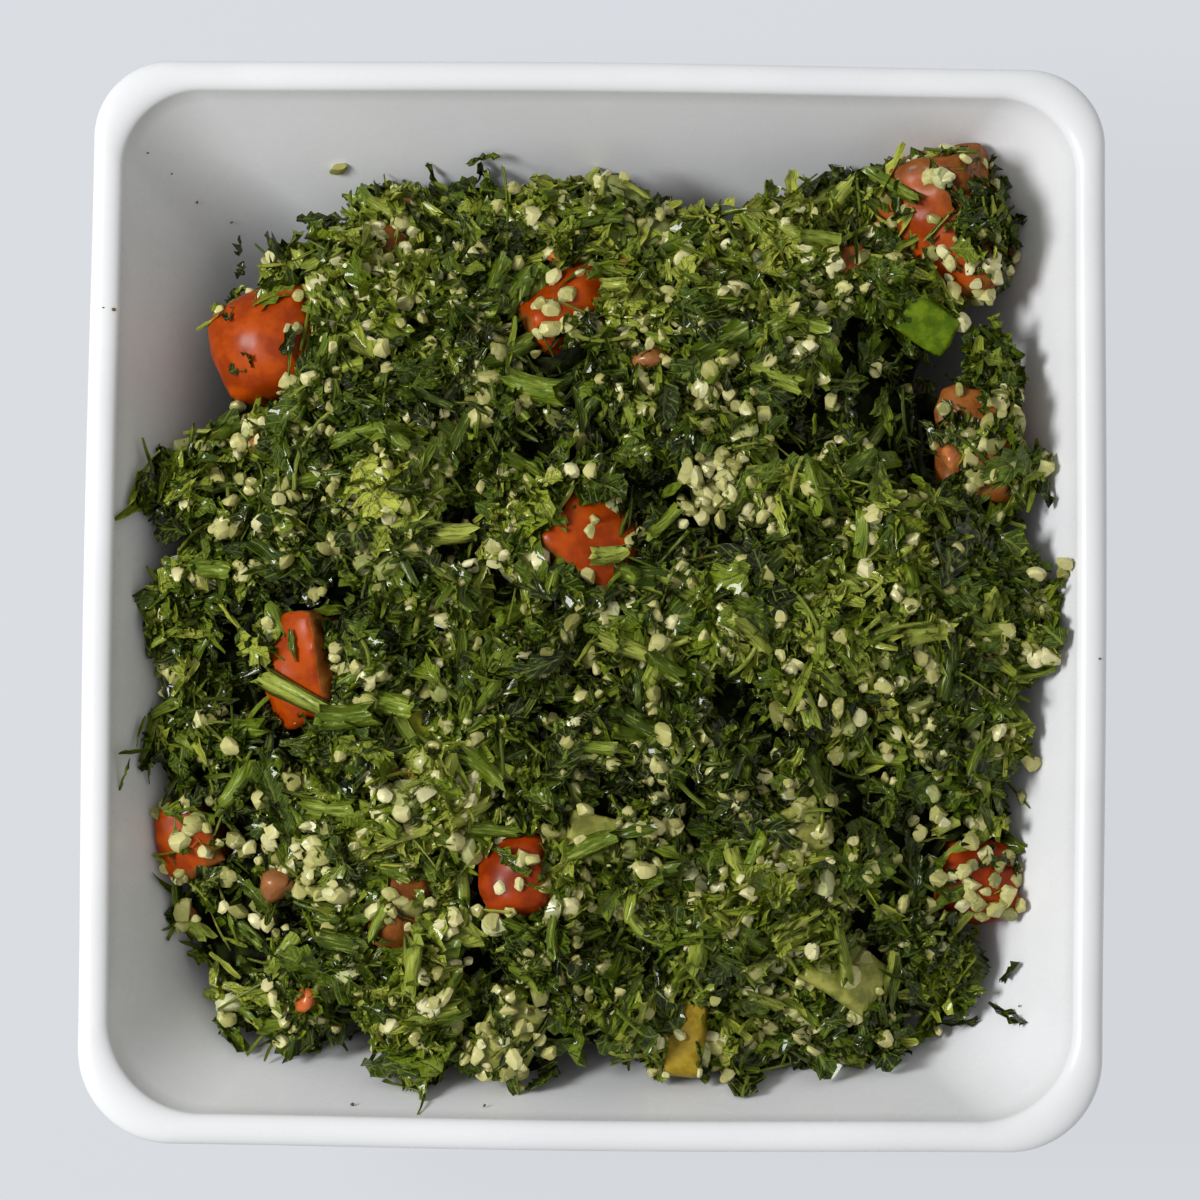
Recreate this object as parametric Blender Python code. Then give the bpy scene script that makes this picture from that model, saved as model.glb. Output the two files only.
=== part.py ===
"""Tabbouleh salad in its square porcelain bowl.

A square bowl with rounded corners and flared walls stands on a foot ring. A loose, uneven heap of
chopped herbs and bulgur fills it, and the diced tomato, onion, cucumber and pepper that are large
enough to pick out lie sunk in the heap, each as its own solid.

Frame: metres, +Z up, the middle of the foot's underside at the origin, the bowl's longer side
along Y.
"""

import math
from typing import NamedTuple

import bmesh
import bpy
from mathutils import Euler, Vector, noise
from mathutils.bvhtree import BVHTree

# The bowl, in metres.
BOWL_LENGTH_X = 0.1400
BOWL_LENGTH_Y = 0.1494
BOWL_HEIGHT = 0.0500
FAR_CORNER_RADIUS = 0.0106
NEAR_CORNER_RADIUS = 0.0128
SIDE_BOW = 0.0004
FOOT_HEIGHT = 0.0030
FOOT_INSET = 0.0340
FOOT_RING_WIDTH = 0.0050
FOOT_RECESS = 0.0020
FOOT_DRAFT = 0.0012
FOOT_ROUND = 0.0005
WALL_FLARE = 0.0322
FLARE_CURVE = 0.25
RIM_WIDTH = 0.0044
RIM_ROUND = 0.0012
WALL_THINNING = 0.7
FLOOR_TOP = 0.0070
FLOOR_FILLET = 0.0080
FILLET_HEIGHT = 0.0036

# The heap, in metres.
CLEARANCE = 0.0003
ROOM_OVER_RIM = 0.0300
SALAD_CROWN = 0.0525
SALAD_SQUARENESS = 5
SALAD_EDGE_POWER = 3.4
SALAD_EDGE_LEVEL = 0.0400
SALAD_GRID = 0.0051
SALAD_UNDERSIDE = -0.0050
LUMP_HEIGHT = 0.0024
LUMP_WIDTH = 0.0150
LUMP_LAYER = 3.7
CLOD_HEIGHT = 0.0016
CLOD_WIDTH = 0.0070
CLOD_LAYER = 11.3
PROBE_HEIGHT = 0.2

# The diced pieces: lengths of their tables in millimetres, the rest as shares of a piece's size.
MM = 0.001
ROOM_GROWTH = 1.5
BALL_RADIUS = 0.60
TOMATO_ROUNDNESS = 0.22
TOMATO_UNEVENNESS = 0.10
TAPER_ACROSS = 0.4
SLAB_ROUNDNESS = 0.12
SLAB_UNEVENNESS = 0.05
SLAB_BEND_LEVEL = 0.4
UNEVEN_SCALE = 2.1
UNEVEN_STEP = Vector((3.1, 1.7, 0.9))

NOISE_SEED = 12
CORNER_STEPS = 6
SIDE_STEPS = 4
OUTER_ROWS = 5
INNER_ROWS = 5

# Where points lie round the rim, in degrees, and round the floor's fillet, as shares in and down.
RIM_ANGLES = (35.0, 65.0, 90.0, 115.0, 145.0)
FILLET_STEPS = ((0.22, 0.62), (0.58, 0.92), (1.0, 1.0))

# Height at which the heap meets the wall, every 45 degrees from +X towards +Y.
SALAD_EDGE_HEIGHTS = (0.0455, 0.0385, 0.0270, 0.0265, 0.0420, 0.0335, 0.0425, 0.0300)

PIECES = "tabbouleh_in_bowl"
CUTTERS = "cutters"
ROOMS = "rooms_for_pieces"


class TomatoPiece(NamedTuple):
    """A diced piece of tomato: lengths in millimetres, turns in degrees about X, Y and Z."""

    name: str
    place: tuple
    size: tuple
    turn: tuple
    rise: float
    dome: float
    taper: float
    cuts: int = 2


class Slab(NamedTuple):
    """A slice of a layered vegetable: lengths in millimetres, turns in degrees about X, Y and Z."""

    name: str
    place: tuple
    size: tuple
    turn: tuple
    rise: float
    bend: float
    colour: tuple
    cuts: int = 2


TOMATO_PIECES = (
    TomatoPiece("tomato_left_dome", (-44.1, 35.8), (15.5, 14.8, 12.0), (-8, -16, 20), 4.2, 0.55, 0.30, 3),
    TomatoPiece("tomato_far_left", (-30.5, 50.0), (6.2, 5.8, 6.0), (25, 10, 40), 1.6, 0.30, 0.20),
    TomatoPiece("tomato_far_wedge", (-5.5, 41.7), (14.2, 10.0, 11.0), (35, 15, 38), 2.2, 0.35, 0.35),
    TomatoPiece("tomato_corner_block", (48.0, 54.5), (15.6, 20.0, 13.0), (16, -26, 8), 11.0, 0.22, 0.12, 3),
    TomatoPiece("tomato_corner_bit", (34.8, 47.0), (6.6, 6.8, 6.0), (10, 5, 15), 2.0, 0.40, 0.15),
    TomatoPiece("tomato_right_block", (53.0, 23.5), (11.2, 16.0, 11.0), (6, -14, -4), 3.0, 0.25, 0.20),
    TomatoPiece("tomato_middle", (0.2, 7.3), (17.2, 13.5, 12.0), (-20, 12, -38), 2.2, 0.30, 0.30, 3),
    TomatoPiece("tomato_left_wedge", (-37.7, -8.7), (10.8, 16.5, 12.0), (4, -38, 8), 3.0, 0.20, 0.45),
    TomatoPiece("tomato_left_edge", (-55.2, -31.5), (9.0, 10.5, 8.0), (10, -24, 28), 2.4, 0.25, 0.25),
    TomatoPiece("tomato_near_left", (-26.6, -40.6), (7.2, 13.0, 8.0), (5, 22, -8), 1.8, 0.15, 0.20),
    TomatoPiece("tomato_near_middle", (-9.2, -38.0), (9.8, 10.4, 9.0), (-12, -20, 10), 3.2, 0.50, 0.25),
    TomatoPiece("tomato_right_edge", (53.0, -37.0), (13.0, 10.6, 9.5), (-14, 18, -10), 2.6, 0.28, 0.20),
)

SLAB_PIECES = (
    Slab("onion_far_strip", (7.8, 52.0), (20.0, 4.8, 2.6), (0, 8, -44), 2.0, 0.03, (150, 158, 96)),
    Slab("onion_near_block", (27.3, -31.4), (8.6, 7.4, 3.4), (14, -8, 24), 2.2, 0.04, (168, 172, 112)),
    Slab("onion_near_dice", (0.2, -32.5), (7.6, 6.0, 4.0), (-10, 12, -14), 2.2, 0.02, (172, 172, 116)),
    Slab("onion_near_petal", (34.9, -50.1), (10.8, 7.8, 2.8), (-16, 14, -32), 2.6, 0.10, (196, 198, 164)),
    Slab("onion_edge_ring", (-11.0, -59.0), (11.8, 8.0, 3.0), (10, -6, 62), 2.2, 0.12, (160, 168, 104)),
    Slab("cucumber_corner_dice", (45.2, 39.5), (8.0, 6.0, 4.6), (12, 16, -30), 2.0, 0.02, (104, 134, 34)),
    Slab("pepper_left_strip", (-23.6, -16.9), (13.0, 7.0, 2.4), (-8, 6, -34), 0.8, 0.05, (140, 138, 34)),
    Slab("pepper_near_strip", (13.1, -59.2), (10.4, 5.2, 4.2), (-8, 4, 84), 1.8, 0.06, (158, 124, 52)),
)


def linear(red, green, blue):
    """Turn an 8-bit display colour into linear red, green, blue and alpha."""
    def channel(value):
        part = value / 255.0
        return part / 12.92 if part <= 0.04045 else ((part + 0.055) / 1.055) ** 2.4
    return channel(red), channel(green), channel(blue), 1.0


def finish(name, colour, roughness):
    """Make one non-metallic material."""
    material = bpy.data.materials.new(name)
    material.use_nodes = True
    shader = material.node_tree.nodes["Principled BSDF"]
    shader.inputs["Base Color"].default_value = colour
    shader.inputs["Roughness"].default_value = roughness
    shader.inputs["Metallic"].default_value = 0.0
    return material


def clear_scene():
    """Remove every object that the scene opened with."""
    for item in list(bpy.data.objects):
        bpy.data.objects.remove(item, do_unlink=True)


def new_collection(name):
    """Add a collection to the scene."""
    collection = bpy.data.collections.new(name)
    bpy.context.scene.collection.children.link(collection)
    return collection


def add_object(name, mesh, collection, material):
    """Put a mesh in a collection as an object with one material."""
    mesh.name = name
    mesh.materials.append(material)
    item = bpy.data.objects.new(name, mesh)
    collection.objects.link(item)
    return item


def mesh_from(shape, smooth=True):
    """Close a bmesh off into a mesh of triangles with its faces pointing out."""
    bmesh.ops.recalc_face_normals(shape, faces=shape.faces)
    bmesh.ops.triangulate(shape, faces=shape.faces)
    mesh = bpy.data.meshes.new("shape")
    shape.to_mesh(mesh)
    shape.free()
    if smooth:
        mesh.shade_smooth()
        mesh.set_sharp_from_angle(angle=math.radians(40.0))
    return mesh


# ---------------------------------------------------------------------------------------- bowl

def outline(inset):
    """Points of the rounded, slightly bowed square that lies inset from the rim's edge."""
    half_x = BOWL_LENGTH_X / 2.0 - SIDE_BOW - inset
    half_y = BOWL_LENGTH_Y / 2.0 - SIDE_BOW - inset
    quarters = (
        (1, 1, FAR_CORNER_RADIUS),
        (-1, 1, FAR_CORNER_RADIUS),
        (-1, -1, NEAR_CORNER_RADIUS),
        (1, -1, NEAR_CORNER_RADIUS),
    )
    corners = []
    for index, (side_x, side_y, radius) in enumerate(quarters):
        centre = Vector((side_x * (half_x - radius), side_y * (half_y - radius)))
        arc = []
        for step in range(CORNER_STEPS + 1):
            angle = math.radians(90.0) * (index + step / CORNER_STEPS)
            arc.append(centre + radius * Vector((math.cos(angle), math.sin(angle))))
        corners.append(arc)
    points = []
    for index, arc in enumerate(corners):
        points.extend(arc)
        start = arc[-1]
        end = corners[(index + 1) % 4][0]
        outward = Vector(((end - start).y, -(end - start).x)).normalized()
        for step in range(1, SIDE_STEPS):
            along = step / SIDE_STEPS
            bow = SIDE_BOW * (1.0 - (2.0 * along - 1.0) ** 2) ** 2
            points.append(start.lerp(end, along) + outward * bow)
    return points


def flare(fraction):
    """Share of the flare still to come at a fraction of the wall's height."""
    left = 1.0 - fraction
    return left * (1.0 - FLARE_CURVE) + left * left * FLARE_CURVE


def outer_inset(height):
    """Inset of the outer wall at a height."""
    top = BOWL_HEIGHT - RIM_ROUND
    fraction = (height - FOOT_HEIGHT) / (top - FOOT_HEIGHT)
    return WALL_FLARE * flare(fraction)


def inner_inset(height):
    """Inset of the inner wall at a height, straight up above the rim."""
    top = BOWL_HEIGHT - RIM_ROUND
    if height >= top:
        return RIM_WIDTH
    fraction = (height - FLOOR_TOP) / (top - FLOOR_TOP)
    return RIM_WIDTH + (WALL_FLARE - RIM_WIDTH * WALL_THINNING) * flare(fraction)


def loft(levels):
    """Join (height, inset) levels into one closed surface."""
    shape = bmesh.new()
    rings = []
    for height, inset in levels:
        rings.append([shape.verts.new((point.x, point.y, height)) for point in outline(inset)])
    for lower, upper in zip(rings, rings[1:]):
        for index in range(len(lower)):
            after = (index + 1) % len(lower)
            shape.faces.new((lower[index], lower[after], upper[after], upper[index]))
    shape.faces.new(rings[0])
    shape.faces.new(rings[-1])
    return shape


def bowl_levels():
    """Levels of the whole bowl, from the recess under the foot round to the inner floor."""
    ring = FOOT_INSET + FOOT_RING_WIDTH
    levels = [
        (FOOT_RECESS, ring + FOOT_DRAFT),
        (FOOT_ROUND, ring),
        (0.0, ring - FOOT_ROUND),
        (0.0, FOOT_INSET + FOOT_ROUND),
        (FOOT_ROUND, FOOT_INSET),
        (FOOT_HEIGHT - FOOT_ROUND, FOOT_INSET),
    ]
    top = BOWL_HEIGHT - RIM_ROUND
    for row in range(OUTER_ROWS + 1):
        height = FOOT_HEIGHT + (top - FOOT_HEIGHT) * row / OUTER_ROWS
        levels.append((height, outer_inset(height)))
    half_rim = RIM_WIDTH / 2.0
    for degrees in RIM_ANGLES:
        angle = math.radians(degrees)
        inset = half_rim - half_rim * math.cos(angle)
        levels.append((top + RIM_ROUND * math.sin(angle), inset))
    levels.extend(cavity_levels(0.0))
    return levels


def cavity_levels(gap):
    """Levels of the inside, from the rim down to the floor, drawn in by a gap."""
    top = BOWL_HEIGHT - RIM_ROUND
    fillet_top = FLOOR_TOP + FILLET_HEIGHT
    levels = []
    for row in range(INNER_ROWS + 1):
        height = top + (fillet_top - top) * row / INNER_ROWS
        levels.append((height, inner_inset(height) + gap))
    base = inner_inset(fillet_top) + gap
    for share_in, share_down in FILLET_STEPS:
        height = fillet_top - (fillet_top - FLOOR_TOP - gap) * share_down
        levels.append((height, base + FLOOR_FILLET * share_in))
    return levels


def make_bowl(collection):
    """The porcelain bowl: foot ring, flared walls, rounded rim, filleted floor."""
    porcelain = finish("porcelain", linear(236, 236, 233), 0.16)
    return add_object("bowl", mesh_from(loft(bowl_levels())), collection, porcelain)


def make_cavity(collection):
    """The space that the bowl leaves for food, carried on straight up above the rim."""
    levels = cavity_levels(CLEARANCE)
    above = (BOWL_HEIGHT + ROOM_OVER_RIM, levels[0][1])
    mesh = mesh_from(loft([above] + levels), smooth=False)
    cavity = add_object("cavity", mesh, collection, finish("guide", linear(90, 90, 90), 0.5))
    hide_tool(cavity)
    return cavity


def hide_tool(item):
    """Keep a cutter out of the model."""
    item.hide_render = True
    item.display_type = "WIRE"


def boolean(item, tool, operation):
    """Cut an object with another."""
    cut = item.modifiers.new(tool.name, "BOOLEAN")
    cut.operation = operation
    cut.solver = "EXACT"
    cut.object = tool
    return cut


def cut_rooms(item, rooms):
    """Cut every room of a collection out of an object in one pass."""
    cut = item.modifiers.new("rooms", "BOOLEAN")
    cut.operation = "DIFFERENCE"
    cut.solver = "EXACT"
    cut.operand_type = "COLLECTION"
    cut.collection = rooms


# ---------------------------------------------------------------------------------------- salad

def edge_height(angle):
    """Height where the heap meets the wall, in a direction."""
    turns = (angle / math.tau) % 1.0 * len(SALAD_EDGE_HEIGHTS)
    index = int(turns)
    blend = turns - index
    blend = blend * blend * (3.0 - 2.0 * blend)
    first = SALAD_EDGE_HEIGHTS[index % len(SALAD_EDGE_HEIGHTS)]
    second = SALAD_EDGE_HEIGHTS[(index + 1) % len(SALAD_EDGE_HEIGHTS)]
    return first + (second - first) * blend


def salad_height(x, y):
    """Height of the loose heap's surface."""
    half_x = BOWL_LENGTH_X / 2.0 - inner_inset(SALAD_EDGE_LEVEL)
    half_y = BOWL_LENGTH_Y / 2.0 - inner_inset(SALAD_EDGE_LEVEL)
    power = SALAD_SQUARENESS
    reach = (abs(x / half_x) ** power + abs(y / half_y) ** power) ** (1.0 / power)
    edge = edge_height(math.atan2(y, x))
    height = SALAD_CROWN - (SALAD_CROWN - edge) * reach ** SALAD_EDGE_POWER
    height += LUMP_HEIGHT * noise.noise(Vector((x / LUMP_WIDTH, y / LUMP_WIDTH, LUMP_LAYER)))
    height += CLOD_HEIGHT * noise.noise(Vector((x / CLOD_WIDTH, y / CLOD_WIDTH, CLOD_LAYER)))
    return height


def make_salad(collection, cavity):
    """The heap: a lumpy top over the whole bowl, kept to the space inside it."""
    columns = int(BOWL_LENGTH_X / SALAD_GRID)
    rows = int(BOWL_LENGTH_Y / SALAD_GRID)
    shape = bmesh.new()
    bmesh.ops.create_grid(shape, x_segments=columns, y_segments=rows, size=0.5)
    for vertex in shape.verts:
        vertex.co.x *= BOWL_LENGTH_X
        vertex.co.y *= BOWL_LENGTH_Y
        vertex.co.z = salad_height(vertex.co.x, vertex.co.y)
    lid = bmesh.ops.extrude_face_region(shape, geom=list(shape.faces), use_keep_orig=True)
    moved = [item for item in lid["geom"] if isinstance(item, bmesh.types.BMVert)]
    for vertex in moved:
        vertex.co.z = SALAD_UNDERSIDE
    under = [face for face in shape.faces if all(v.co.z < 0.0 for v in face.verts)]
    bmesh.ops.dissolve_faces(shape, faces=under)
    greens = finish("chopped_herbs", linear(58, 68, 20), 0.45)
    heap = add_object("salad_heap", mesh_from(shape, smooth=False), collection, greens)
    boolean(heap, cavity, "INTERSECT")
    return heap


# ------------------------------------------------------------------------------- diced vegetables

def rounded_block(cuts, roundness):
    """A unit cube divided into a grid and drawn partly towards a ball."""
    shape = bmesh.new()
    bmesh.ops.create_cube(shape, size=1.0)
    bmesh.ops.subdivide_edges(shape, edges=list(shape.edges), cuts=cuts, use_grid_fill=True)
    for vertex in shape.verts:
        ball = vertex.co.normalized() * BALL_RADIUS
        vertex.co = vertex.co.lerp(ball, roundness)
    return shape


def unsettle(shape, amount, seed):
    """Move each corner a little, as an uneven knife cut does."""
    for vertex in shape.verts:
        shift = noise.noise_vector(vertex.co * UNEVEN_SCALE + UNEVEN_STEP * seed)
        vertex.co += shift * amount


def tomato_block(piece, seed):
    """A diced piece of tomato: a domed skin on local +Z, cut faces that draw in below it."""
    shape = rounded_block(piece.cuts, TOMATO_ROUNDNESS)
    for vertex in shape.verts:
        x, y, z = vertex.co
        if z > 0.0:
            vertex.co.z = z + piece.dome * (0.5 - x * x - y * y) * z * 2.0
        below = 0.5 - z
        vertex.co.x = x * (1.0 - piece.taper * below)
        vertex.co.y = y * (1.0 - piece.taper * TAPER_ACROSS * below)
    unsettle(shape, TOMATO_UNEVENNESS, seed)
    for vertex in shape.verts:
        vertex.co *= Vector(piece.size) * MM
    return shape


def bent_slab(piece, seed):
    """A slab cut from a layered or ringed vegetable, whose local X curls down at both ends."""
    shape = rounded_block(piece.cuts, SLAB_ROUNDNESS)
    unsettle(shape, SLAB_UNEVENNESS, seed)
    for vertex in shape.verts:
        drop = piece.bend * piece.size[0] * MM * (vertex.co.x ** 2 * 4.0 - SLAB_BEND_LEVEL)
        vertex.co *= Vector(piece.size) * MM
        vertex.co.z -= drop
    return shape


def bodies_of(shape):
    """Groups of faces joined through clean edges, largest group first."""
    waiting = set(shape.faces)
    groups = []
    while waiting:
        edge_of_group = [waiting.pop()]
        group = []
        while edge_of_group:
            face = edge_of_group.pop()
            group.append(face)
            for edge in face.edges:
                if len(edge.link_faces) == 2:
                    for other in edge.link_faces:
                        if other in waiting:
                            waiting.remove(other)
                            edge_of_group.append(other)
        groups.append(group)
    return sorted(groups, key=len, reverse=True)


def settle_cuts(item):
    """Apply an object's cuts and drop the thin crumbs that they leave beside the wall."""
    depsgraph = bpy.context.evaluated_depsgraph_get()
    evaluated = item.evaluated_get(depsgraph)
    mesh = bpy.data.meshes.new_from_object(evaluated)
    item.modifiers.clear()
    shape = bmesh.new()
    shape.from_mesh(mesh)
    for crumb in bodies_of(shape)[1:]:
        bmesh.ops.delete(shape, geom=crumb, context="FACES")
    shape.to_mesh(mesh)
    shape.free()
    item.data = mesh


def surface_reader(heap):
    """A function that gives the height of the heap's uncut top at a place."""
    depsgraph = bpy.context.evaluated_depsgraph_get()
    tree = BVHTree.FromObject(heap, depsgraph)

    def height(x, y):
        hit = tree.ray_cast(Vector((x, y, PROBE_HEIGHT)), Vector((0.0, 0.0, -1.0)))
        return hit[0].z
    return height


def lay_in(shape, piece, height, collection, material, rooms):
    """Turn a piece, sink it in the heap so that it stands its rise above it, and add its room.

    The room is the piece grown by the clearance; the heap is cut by it.
    """
    spin = Euler([math.radians(angle) for angle in piece.turn], "XYZ").to_matrix()
    for vertex in shape.verts:
        vertex.co = spin @ vertex.co
    top = max(vertex.co.z for vertex in shape.verts)
    x, y = piece.place[0] * MM, piece.place[1] * MM
    centre = Vector((x, y, height(x, y) + piece.rise * MM - top))
    for vertex in shape.verts:
        vertex.co += centre
    bmesh.ops.recalc_face_normals(shape, faces=shape.faces)
    grown = shape.copy()
    grown.normal_update()
    shifts = [vertex.normal * CLEARANCE * ROOM_GROWTH for vertex in grown.verts]
    for vertex, shift in zip(grown.verts, shifts):
        vertex.co += shift
    solid = add_object(piece.name, mesh_from(shape), collection, material)
    room = add_object(piece.name + "_room", mesh_from(grown, smooth=False), rooms, material)
    hide_tool(room)
    return solid


def make_tomatoes(height, collection, rooms):
    """Every piece of tomato, with the room that each takes in the heap."""
    flesh = finish("tomato", linear(196, 78, 28), 0.28)
    made = []
    for number, piece in enumerate(TOMATO_PIECES, start=1):
        shape = tomato_block(piece, number)
        made.append(lay_in(shape, piece, height, collection, flesh, rooms))
    return made


def make_slabs(height, collection, rooms):
    """Every larger piece of onion, cucumber and pepper."""
    made = []
    for number, piece in enumerate(SLAB_PIECES, start=21):
        material = finish(piece.name + "_flesh", linear(*piece.colour), 0.30)
        shape = bent_slab(piece, number)
        made.append(lay_in(shape, piece, height, collection, material, rooms))
    return made


def main():
    """Build the bowl, the heap and the pieces in it."""
    clear_scene()
    noise.seed_set(NOISE_SEED)
    collection = new_collection(PIECES)
    tools = new_collection(CUTTERS)
    make_bowl(collection)
    cavity = make_cavity(tools)
    heap = make_salad(collection, cavity)
    height = surface_reader(heap)
    rooms = new_collection(ROOMS)
    placed = make_tomatoes(height, collection, rooms)
    placed += make_slabs(height, collection, rooms)
    for piece in placed:
        boolean(piece, cavity, "INTERSECT")
    cut_rooms(heap, rooms)
    settle_cuts(heap)


main()
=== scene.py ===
"""Looks of a square porcelain bowl of tabbouleh.

The bowl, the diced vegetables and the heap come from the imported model. The heap is replaced by a
smaller dark core under thousands of real fragments: lobed parsley flakes, folded strips, ribbed
stems, thin stalks, bulgur grains and small dice.
"""

import logging
import math
from dataclasses import dataclass, replace
from enum import Enum
from typing import Callable, Sequence

import bmesh
import bpy
import numpy as np
from mathutils import Matrix, Vector, noise
from mathutils.bvhtree import BVHTree


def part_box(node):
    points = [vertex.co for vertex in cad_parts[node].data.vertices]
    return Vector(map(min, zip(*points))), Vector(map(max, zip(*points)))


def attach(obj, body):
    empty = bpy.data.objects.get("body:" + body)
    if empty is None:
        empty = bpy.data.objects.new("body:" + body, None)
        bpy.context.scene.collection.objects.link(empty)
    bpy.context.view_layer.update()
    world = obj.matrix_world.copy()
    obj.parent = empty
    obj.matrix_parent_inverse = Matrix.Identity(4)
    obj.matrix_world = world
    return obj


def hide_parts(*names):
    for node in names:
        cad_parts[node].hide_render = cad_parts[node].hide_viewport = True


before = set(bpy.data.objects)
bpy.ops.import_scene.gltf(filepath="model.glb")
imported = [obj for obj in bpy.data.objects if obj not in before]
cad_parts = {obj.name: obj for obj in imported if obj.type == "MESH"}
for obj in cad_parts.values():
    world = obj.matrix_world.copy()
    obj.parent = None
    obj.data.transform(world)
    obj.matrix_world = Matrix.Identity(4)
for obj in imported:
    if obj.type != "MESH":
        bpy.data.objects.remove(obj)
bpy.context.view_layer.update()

LOG = logging.getLogger("tabbouleh")
Colour = tuple[float, float, float]
Point2 = tuple[float, float]
MM = 0.001
TINT_MAP = "OFBake"
TINT_LEVELS = 64
TINT_INSET = 0.04
ALONG_INSET = 0.02
CLOUD_SPAN = (0.35, 0.65)
GRAIN_SPAN = (0.30, 0.70)
LEAST_BEND = 0.05
NO_SKIN = 2.0
UP = (0.0, 0.0, 1.0)
DOWN = (0.0, 0.0, -1.0)
HEAP_NODE = "salad_heap"
BOWL_NODE = "bowl"


def display(red: float, green: float, blue: float) -> Colour:
    """Turn an 8-bit display colour into the linear colour that a shader takes.

    Args:
        red: Red from 0 to 255.
        green: Green from 0 to 255.
        blue: Blue from 0 to 255.

    Returns:
        The linear red, green and blue.
    """
    def channel(value: float) -> float:
        """Undo the display curve for one channel."""
        part = value / 255.0
        return part / 12.92 if part <= 0.04045 else ((part + 0.055) / 1.055) ** 2.4
    return channel(red), channel(green), channel(blue)


def tints(*stops: tuple[float, float, float, float]) -> tuple[tuple[float, Colour], ...]:
    """Colours along a fragment's tint.

    Args:
        *stops: Place from 0 to 1, then red, green and blue from 0 to 255.

    Returns:
        The places with their linear colours.
    """
    return tuple((place, display(*colour)) for place, *colour in stops)


# ------------------------------------------------------------------------------------ node graphs

class Graph:
    """A node tree that is being wired."""

    def __init__(self, tree: bpy.types.NodeTree) -> None:
        """Keep the tree."""
        self.tree = tree

    def node(self, kind: str, **settings: object) -> bpy.types.Node:
        """Add a node.

        Args:
            kind: The node's type name.
            **settings: Attributes set on the node.

        Returns:
            The new node.
        """
        made = self.tree.nodes.new(kind)
        for name, value in settings.items():
            setattr(made, name, value)
        return made

    def link(self, source: bpy.types.NodeSocket, target: bpy.types.NodeSocket) -> None:
        """Join an output to an input."""
        self.tree.links.new(source, target)

    def put(self, node: bpy.types.Node, **values: object) -> None:
        """Set a node's inputs: a number or colour as it is, an output by a link.

        Args:
            node: The node.
            **values: Input names with spaces as underscores, and their values.
        """
        for name, value in values.items():
            socket = node.inputs[name.replace("_", " ")]
            if isinstance(value, bpy.types.NodeSocket):
                self.link(value, socket)
            else:
                socket.default_value = value

    def math(self, operation: str, first: object, second: object = 0.0) -> bpy.types.NodeSocket:
        """Add a Math node.

        Args:
            operation: The node's operation.
            first: Number or output.
            second: Number or output.

        Returns:
            The result's socket.
        """
        made = self.node("ShaderNodeMath", operation=operation)
        for index, value in enumerate((first, second)):
            if isinstance(value, bpy.types.NodeSocket):
                self.link(value, made.inputs[index])
            else:
                made.inputs[index].default_value = value
        return made.outputs[0]

    def mix(self, share: object, first: object, second: object) -> bpy.types.NodeSocket:
        """Mix two colours.

        Args:
            share: Share of the second, a number or an output.
            first: Colour or output.
            second: Colour or output.

        Returns:
            The mixed colour's socket.
        """
        made = self.node("ShaderNodeMix", data_type="RGBA")
        for index, value in ((0, share), (6, first), (7, second)):
            if isinstance(value, bpy.types.NodeSocket):
                self.link(value, made.inputs[index])
            elif index:
                made.inputs[index].default_value = (*value, 1.0)
            else:
                made.inputs[index].default_value = value
        return made.outputs[2]

    def ramp(self, value: bpy.types.NodeSocket,
             stops: Sequence[tuple[float, Colour]]) -> bpy.types.NodeSocket:
        """Turn a value into a colour along stops.

        Args:
            value: The output that picks the place.
            stops: Places from 0 to 1 with their colours.

        Returns:
            The colour's socket.
        """
        made = self.node("ShaderNodeValToRGB")
        elements = made.color_ramp.elements
        elements[0].position, elements[-1].position = stops[0][0], stops[-1][0]
        elements[0].color, elements[-1].color = (*stops[0][1], 1.0), (*stops[-1][1], 1.0)
        for place, colour in stops[1:-1]:
            elements.new(place).color = (*colour, 1.0)
        self.link(value, made.inputs["Fac"])
        return made.outputs["Color"]

    def span(self, value: bpy.types.NodeSocket, low: float, high: float,
             bottom: float = 0.0, top: float = 1.0) -> bpy.types.NodeSocket:
        """Map a value's range onto another, smoothly, clamped at both ends.

        Args:
            value: The output to map.
            low: Value that gives bottom.
            high: Value that gives top.
            bottom: Lowest result.
            top: Highest result.

        Returns:
            The result's socket.
        """
        made = self.node("ShaderNodeMapRange", interpolation_type="SMOOTHSTEP")
        self.put(made, Value=value)
        for index, number in enumerate((low, high, bottom, top), start=1):
            made.inputs[index].default_value = number
        return made.outputs["Result"]


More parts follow.
